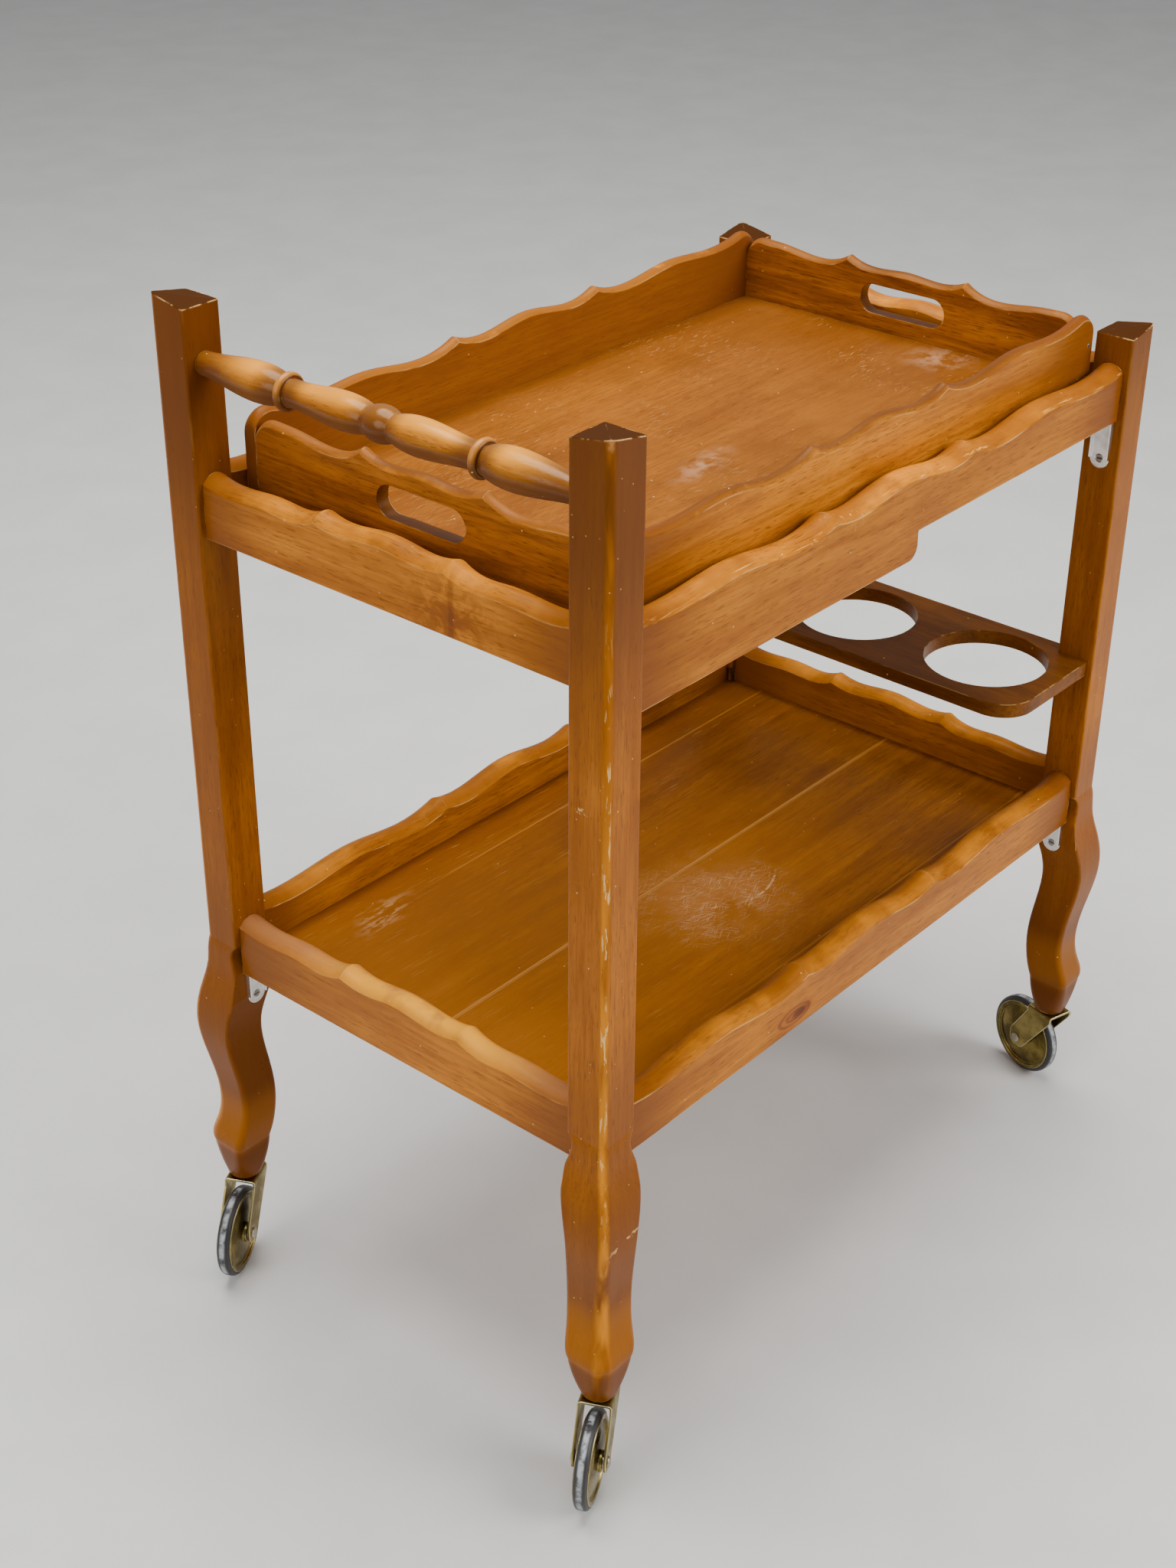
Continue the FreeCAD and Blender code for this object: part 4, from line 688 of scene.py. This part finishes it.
# %% [markdown]
# The shelf has the hardest wear. Painted light makes it paler towards the handle end, a painted sheen
# brightens its middle, and painted shade darkens it towards the back. Bottles have scuffed it: a patch of
# fine crossed scratches near the middle under a haze that is partly scuffing and partly a painted sheen,
# with an arc beside it, and a hatched patch at the back corner. The arc is part of a ring around one point,
# cut off by a soft patch, which is simpler than a curve and lies in the surface.

# %% shelf boards: tone, painted light and shade, and scuffs
SHELF_TONES = ((0.20, 0.056, 0.003), (0.32, 0.102, 0.006), (0.42, 0.142, 0.010))
SHELF_PAINTED_LIGHT = (0.50, 0.168, 0.009)
SHELF_PAINTED_SHEEN = (0.52, 0.178, 0.012)
SCUFF_AND_SHEEN = (0.62, 0.26, 0.07)
SCRATCHED = (0.95, 0.66, 0.36)
HATCHED = (0.66, 0.38, 0.15)
CROSSED_TURNS = (-0.45, 0.15, 0.5, 1.1)
ARC_CENTRE = (0.016, -0.0144, 0.2745)
ARC_RADIUS = 0.0543

shelf = Timber("shelf_timber", "x", *SHELF_TONES)
# painted light towards the handle end
shelf.layer(SHELF_PAINTED_LIGHT, 0.6, shelf.beyond(shelf.x, 0.05, -0.28))
# painted shade towards the back
shelf.layer(DEEP_PAINTED_SHADE, 0.6, shelf.beyond(shelf.y, -0.02, 0.17))
# painted sheen in the middle of the shelf
shelf.layer(SHELF_PAINTED_SHEEN, 0.5, shelf.patch((0.0, -0.03, 0.27), (0.22, 0.13, 1), 0.0, 0.0))
crossed = [shelf.scratches(angle, 0.65, 0.70, length=60, width=2000) for angle in CROSSED_TURNS]
tangle = crossed[0]
for lines in crossed[1:]:
    tangle = math_node(shelf.tree, "MAXIMUM", tangle, lines)
scuffs_and_sheen = shelf.patch((-0.008, -0.044, 0.27), (0.095, 0.088, 1), 0.25, 0.0)
# haze over the scuffed patch: partly scuffing, partly a painted sheen
shelf.layer(SCUFF_AND_SHEEN, 0.55, scuffs_and_sheen, shelf.broken(18, 0.25, 0.65))
shelf.layer(SCRATCHED, 0.9, scuffs_and_sheen, tangle, shelf.broken(26, 0.38, 0.60))
arc_end = shelf.patch((0.026, -0.066, 0.27), (0.036, 0.018, 1))
arc = shelf.both(shelf.ring(ARC_CENTRE, ARC_RADIUS, 0.0012), arc_end)
shelf.layer(SCRATCHED, 0.6, arc, shelf.broken(120, 0.42, 0.56))
hatch = shelf.patch((-0.185, 0.122, 0.27), (0.045, 0.020, 1), 0.25, 0.0)
shelf.layer(HATCHED, 0.5, hatch, shelf.broken(1, 0.5, 0.6, (70, 260, 260)))
shelf.layer(CREAM, 0.25, shelf.scratches(0.05, 0.70, 0.75, length=38, width=1500))
print("shelf with scuffs:", len(shelf.tree.nodes), "nodes")

# %% [markdown]
# The two boards of the shelf meet in a pale line, and two fainter veneer seams run beside it, which fade
# out towards the handle end. The boards are separate solids, but their joint is tight, so the line is part
# of the finish.

# %% shelf boards: joint and seams
BOARD_JOINT = -0.005
VENEER_SEAMS = (-0.136, 0.124)
JOINT_PALE = (0.66, 0.30, 0.06)
SEAM_PALE = (0.62, 0.26, 0.04)

shelf.layer(JOINT_PALE, 0.75, shelf.near(shelf.y, BOARD_JOINT, 0.0022))
away_from_handle = shelf.beyond(shelf.x, -0.17, -0.05)
for seam in VENEER_SEAMS:
    shelf.layer(SEAM_PALE, 0.4, away_from_handle, shelf.near(shelf.y, seam, 0.0012))
shelf_timber = shelf.varnish(gloss=0.34, edge_wear=0.2)

# %% [markdown]
# The handle spindle is the brightest piece: a turned golden rod with a painted highlight along its top and
# painted shade below. It is darker in its grooves, beside its two rings, at its centre bead and at its ends,
# and the rings' crests are rubbed to gold. A groove is where the surface sees itself, so ambient occlusion
# over a few millimetres finds it, and the other bands follow from the distance to the middle of the rod.

# %% handle
HANDLE_TONES = ((0.25, 0.070, 0.005), (0.45, 0.150, 0.010), (0.62, 0.235, 0.020))
GROOVE = (0.12, 0.030, 0.005)
HANDLE_PAINTED_HIGHLIGHT = (0.92, 0.370, 0.020)
HANDLE_DARK_BAND = (0.095, 0.027, 0.008)
RING_CREST = (0.60, 0.240, 0.040)
HANDLE_PAINTED_SHADE = (0.10, 0.026, 0.003)
HANDLE_TINT = (1.0, 0.78, 0.52, 1)
RING_PLACE = 0.079
DARK_BANDS = ((RING_PLACE, 0.024), (0.0, 0.026), (0.160, 0.060))

handle = Timber("handle_timber", "y", *HANDLE_TONES)
occlusion = put(handle.tree, "AmbientOcclusion", {"Distance": 0.012}, samples=8, only_local=True)
handle.layer(GROOVE, 0.9, handle.beyond(occlusion.outputs["AO"], 0.97, 0.55))
# painted highlight along the top of the rod
handle.layer(HANDLE_PAINTED_HIGHLIGHT, 0.55, handle.beyond(handle.facing_z, 0.35, 0.85))
from_centre = math_node(handle.tree, "ABSOLUTE", handle.y)
for place, reach in DARK_BANDS:
    handle.layer(HANDLE_DARK_BAND, 0.8, handle.near(from_centre, place, reach))
handle.layer(RING_CREST, 0.6, handle.near(from_centre, RING_PLACE, 0.0034))
# painted shade on the underside
handle.layer(HANDLE_PAINTED_SHADE, 0.85, handle.beyond(handle.facing_z, 0.45, -0.25))
handle.matt = handle.beyond(handle.facing_z, 0.25, -0.35)
handle_timber = handle.varnish(gloss=0.20, edge_wear=0.3, sheen=0.34, tint=HANDLE_TINT)

# %% [markdown]
# The bottle rack hangs in the shade of the tray and was stained darkest. The cleats under the tray and the
# dowels in the joints are bare wood. The same class makes both: only the tones change, and bare wood is
# hardly glossy.

# %% rack and bare wood
RACK_TONES = ((0.08, 0.022, 0.002), (0.15, 0.046, 0.004), (0.22, 0.070, 0.006))
BARE_TONES = ((0.36, 0.22, 0.11), (0.48, 0.31, 0.16), (0.58, 0.40, 0.22))

rack_timber = Timber("rack_timber", "y", *RACK_TONES).varnish(gloss=0.4, edge_wear=0.45)
bare_timber = Timber("bare_timber", "x", *BARE_TONES).varnish(gloss=0.6, edge_wear=0.1)

# %% [markdown]
# The cart's metal is dull with age. A flat metal colour would look new, so clouds of noise change the
# colour and the roughness together. Edges are brighter, partly rubbed bright and partly a painted highlight,
# and the same soft edge as on the timber finds them.

# %% recipe for cloudy metal
METAL_CLOUD = 60
METAL_GRAIN = METAL_CLOUD * 9
METAL_EDGE = 0.0010


def cloudy_metal(name, bright, dull, polish_and_glint, roughness):
    material, tree, shader = new_material(name)
    spot = put(tree, "TexCoord").outputs["Object"]
    clouds = noise(tree, spot, METAL_CLOUD, detail=4, roughness=0.6)
    clouded = blend_colour(tree, remap(tree, clouds, 0.38, 0.64), bright, dull)
    softened, edge = soft_edge(tree, METAL_EDGE, 0.995, 0.94)
    # edges: partly rubbed bright, partly a painted highlight
    tree.links.new(blend_colour(tree, edge, clouded, polish_and_glint), shader.inputs["Base Color"])
    rough = remap(tree, clouds, 0.3, 0.7, roughness - 0.08, roughness + 0.14)
    tree.links.new(rough, shader.inputs["Roughness"])
    fine = noise(tree, spot, METAL_GRAIN, detail=3, roughness=0.6)
    bump = put(tree, "Bump", {"Strength": 0.10, "Distance": 0.0002, "Height": fine, "Normal": softened})
    tree.links.new(bump.outputs[0], shader.inputs["Normal"])
    shader.inputs["Metallic"].default_value = 1.0
    print("metal:", name)
    return material


# %% [markdown]
# Zinc shines on the knock-down connectors. Screws, brads and the casters' stems and axles are steel, and
# the forks and wheel discs have tarnished brass plating. One material with a mask could hold them all, but
# they sit on different solids, so each metal is its own: a clean colour, a tarnished one, a polished one
# for edges that also paints their highlight, and a roughness.

# %% zinc, steel and brass
zinc = cloudy_metal("zinc_plating", (0.86, 0.86, 0.84), (0.66, 0.66, 0.64), (0.95, 0.95, 0.93), 0.34)
screw_steel = cloudy_metal("screw_steel", (0.30, 0.28, 0.25), (0.14, 0.13, 0.11), (0.55, 0.53, 0.48), 0.42)
caster_steel = cloudy_metal("caster_steel", (0.50, 0.46, 0.38), (0.28, 0.25, 0.19), (0.75, 0.70, 0.55), 0.36)
fork_brass = cloudy_metal("fork_brass", (0.36, 0.285, 0.095), (0.19, 0.142, 0.040), (0.90, 0.80, 0.48), 0.34)
wheel_brass = cloudy_metal("wheel_brass", (0.24, 0.178, 0.045), (0.10, 0.072, 0.016), (0.86, 0.74, 0.36), 0.3)

# %% [markdown]
# The tyres are black rubber. The middle of their tread is grey, partly dust rubbed in by rolling and partly a
# painted sheen. The tread could be split off as faces of its own, but it has no sharp border. Its middle is
# the part of the tyre nearest to the wheel's own plane, so each point's distance from that plane, measured
# along the axle, separates it from the black shoulders and side walls.

# %% recipe for worn rubber
RUBBER_BLACK = (0.020, 0.020, 0.021)
RUBBER_DUST_AND_SHEEN = (0.42, 0.44, 0.46)
TREAD_EDGE = 0.0028
TREAD_MIDDLE = 0.0009


def worn_rubber(name, axle, centre):
    material, tree, shader = new_material(name)
    spot = put(tree, "TexCoord").outputs["Object"]
    from_hub = vector_node(tree, "SUBTRACT", spot, centre)["Vector"]
    sideways = vector_node(tree, "DOT_PRODUCT", from_hub, axle)["Value"]
    tread = remap(tree, math_node(tree, "ABSOLUTE", sideways), TREAD_EDGE, TREAD_MIDDLE)
    # grey tread middle: partly dust, partly a painted sheen
    dust_and_sheen = remap(tree, noise(tree, spot, scale=110, detail=4, roughness=0.65), 0.33, 0.60)
    share = math_node(tree, "MULTIPLY", tread, dust_and_sheen)
    tree.links.new(blend_colour(tree, share, RUBBER_BLACK, RUBBER_DUST_AND_SHEEN), shader.inputs["Base Color"])
    tree.links.new(remap(tree, share, 0, 1, 0.45, 0.8), shader.inputs["Roughness"])
    grit = noise(tree, spot, scale=900, detail=3, roughness=0.6)
    bump = put(tree, "Bump", {"Strength": 0.25, "Distance": 0.0003, "Height": grit})
    tree.links.new(bump.outputs[0], shader.inputs["Normal"])
    return material


# %% [markdown]
# Every solid keeps its shape and gets its finish here. Materials could be put on by hand, one solid at a
# time, but a table of finishes shows at a glance what is made of what.

# %% put the finishes on the timber and the connectors
def dress(name, material):
    solid = nodes[name]
    solid.data.materials.clear()
    solid.data.materials.append(material)


finishes = {
    rail_along_x: ["top_rail_front", "top_rail_back", "shelf_rail_front", "shelf_rail_back"],
    rail_along_y: [
        "top_rail_handle_end",
        "top_rail_bottle_end",
        "shelf_rail_handle_end",
        "shelf_rail_bottle_end",
    ],
    post_timber: ["post_handle_front", "post_handle_back", "post_bottle_front", "post_bottle_back"],
    tray_along_x: ["tray_side_front", "tray_side_back"],
    tray_along_y: ["tray_end_handle", "tray_end_bottle"],
    tray_floor_timber: ["tray_floor"],
    shelf_timber: ["shelf_board_front", "shelf_board_back"],
    rack_timber: ["bottle_rack"],
    handle_timber: ["handle_spindle"],
    bare_timber: ["tray_cleat_front", "tray_cleat_back", "rack_dowels"],
    zinc: ["connector_post_plates", "connector_rail_plates"],
    screw_steel: ["connector_post_screws", "connector_rail_screws", "tray_brads"],
}
for material, names in finishes.items():
    for name in names:
        dress(name, material)
print("finishes for timber and connectors:", len(finishes))

# %% [markdown]
# The four casters are alike but point in different directions. One tyre material would need one axle for
# all, so each tyre has its own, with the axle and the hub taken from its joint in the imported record.

# %% put the finishes on the casters
CORNERS = ("handle_front", "handle_back", "bottle_front", "bottle_back")

joints = {joint["name"]: joint for joint in frame["joints"]}
for corner in CORNERS:
    spin = joints["wheel_spin_" + corner]
    for piece in ("socket", "stem", "axle", "wheel_bush"):
        dress("caster_%s_%s" % (corner, piece), caster_steel)
    dress("caster_%s_fork" % corner, fork_brass)
    dress("caster_%s_wheel_disc" % corner, wheel_brass)
    rubber = worn_rubber("tyre_rubber_" + corner, tuple(spin["axis"]), tuple(spin["pos_m"]))
    dress("caster_%s_tyre" % corner, rubber)
print("finishes on", len(nodes), "solids")
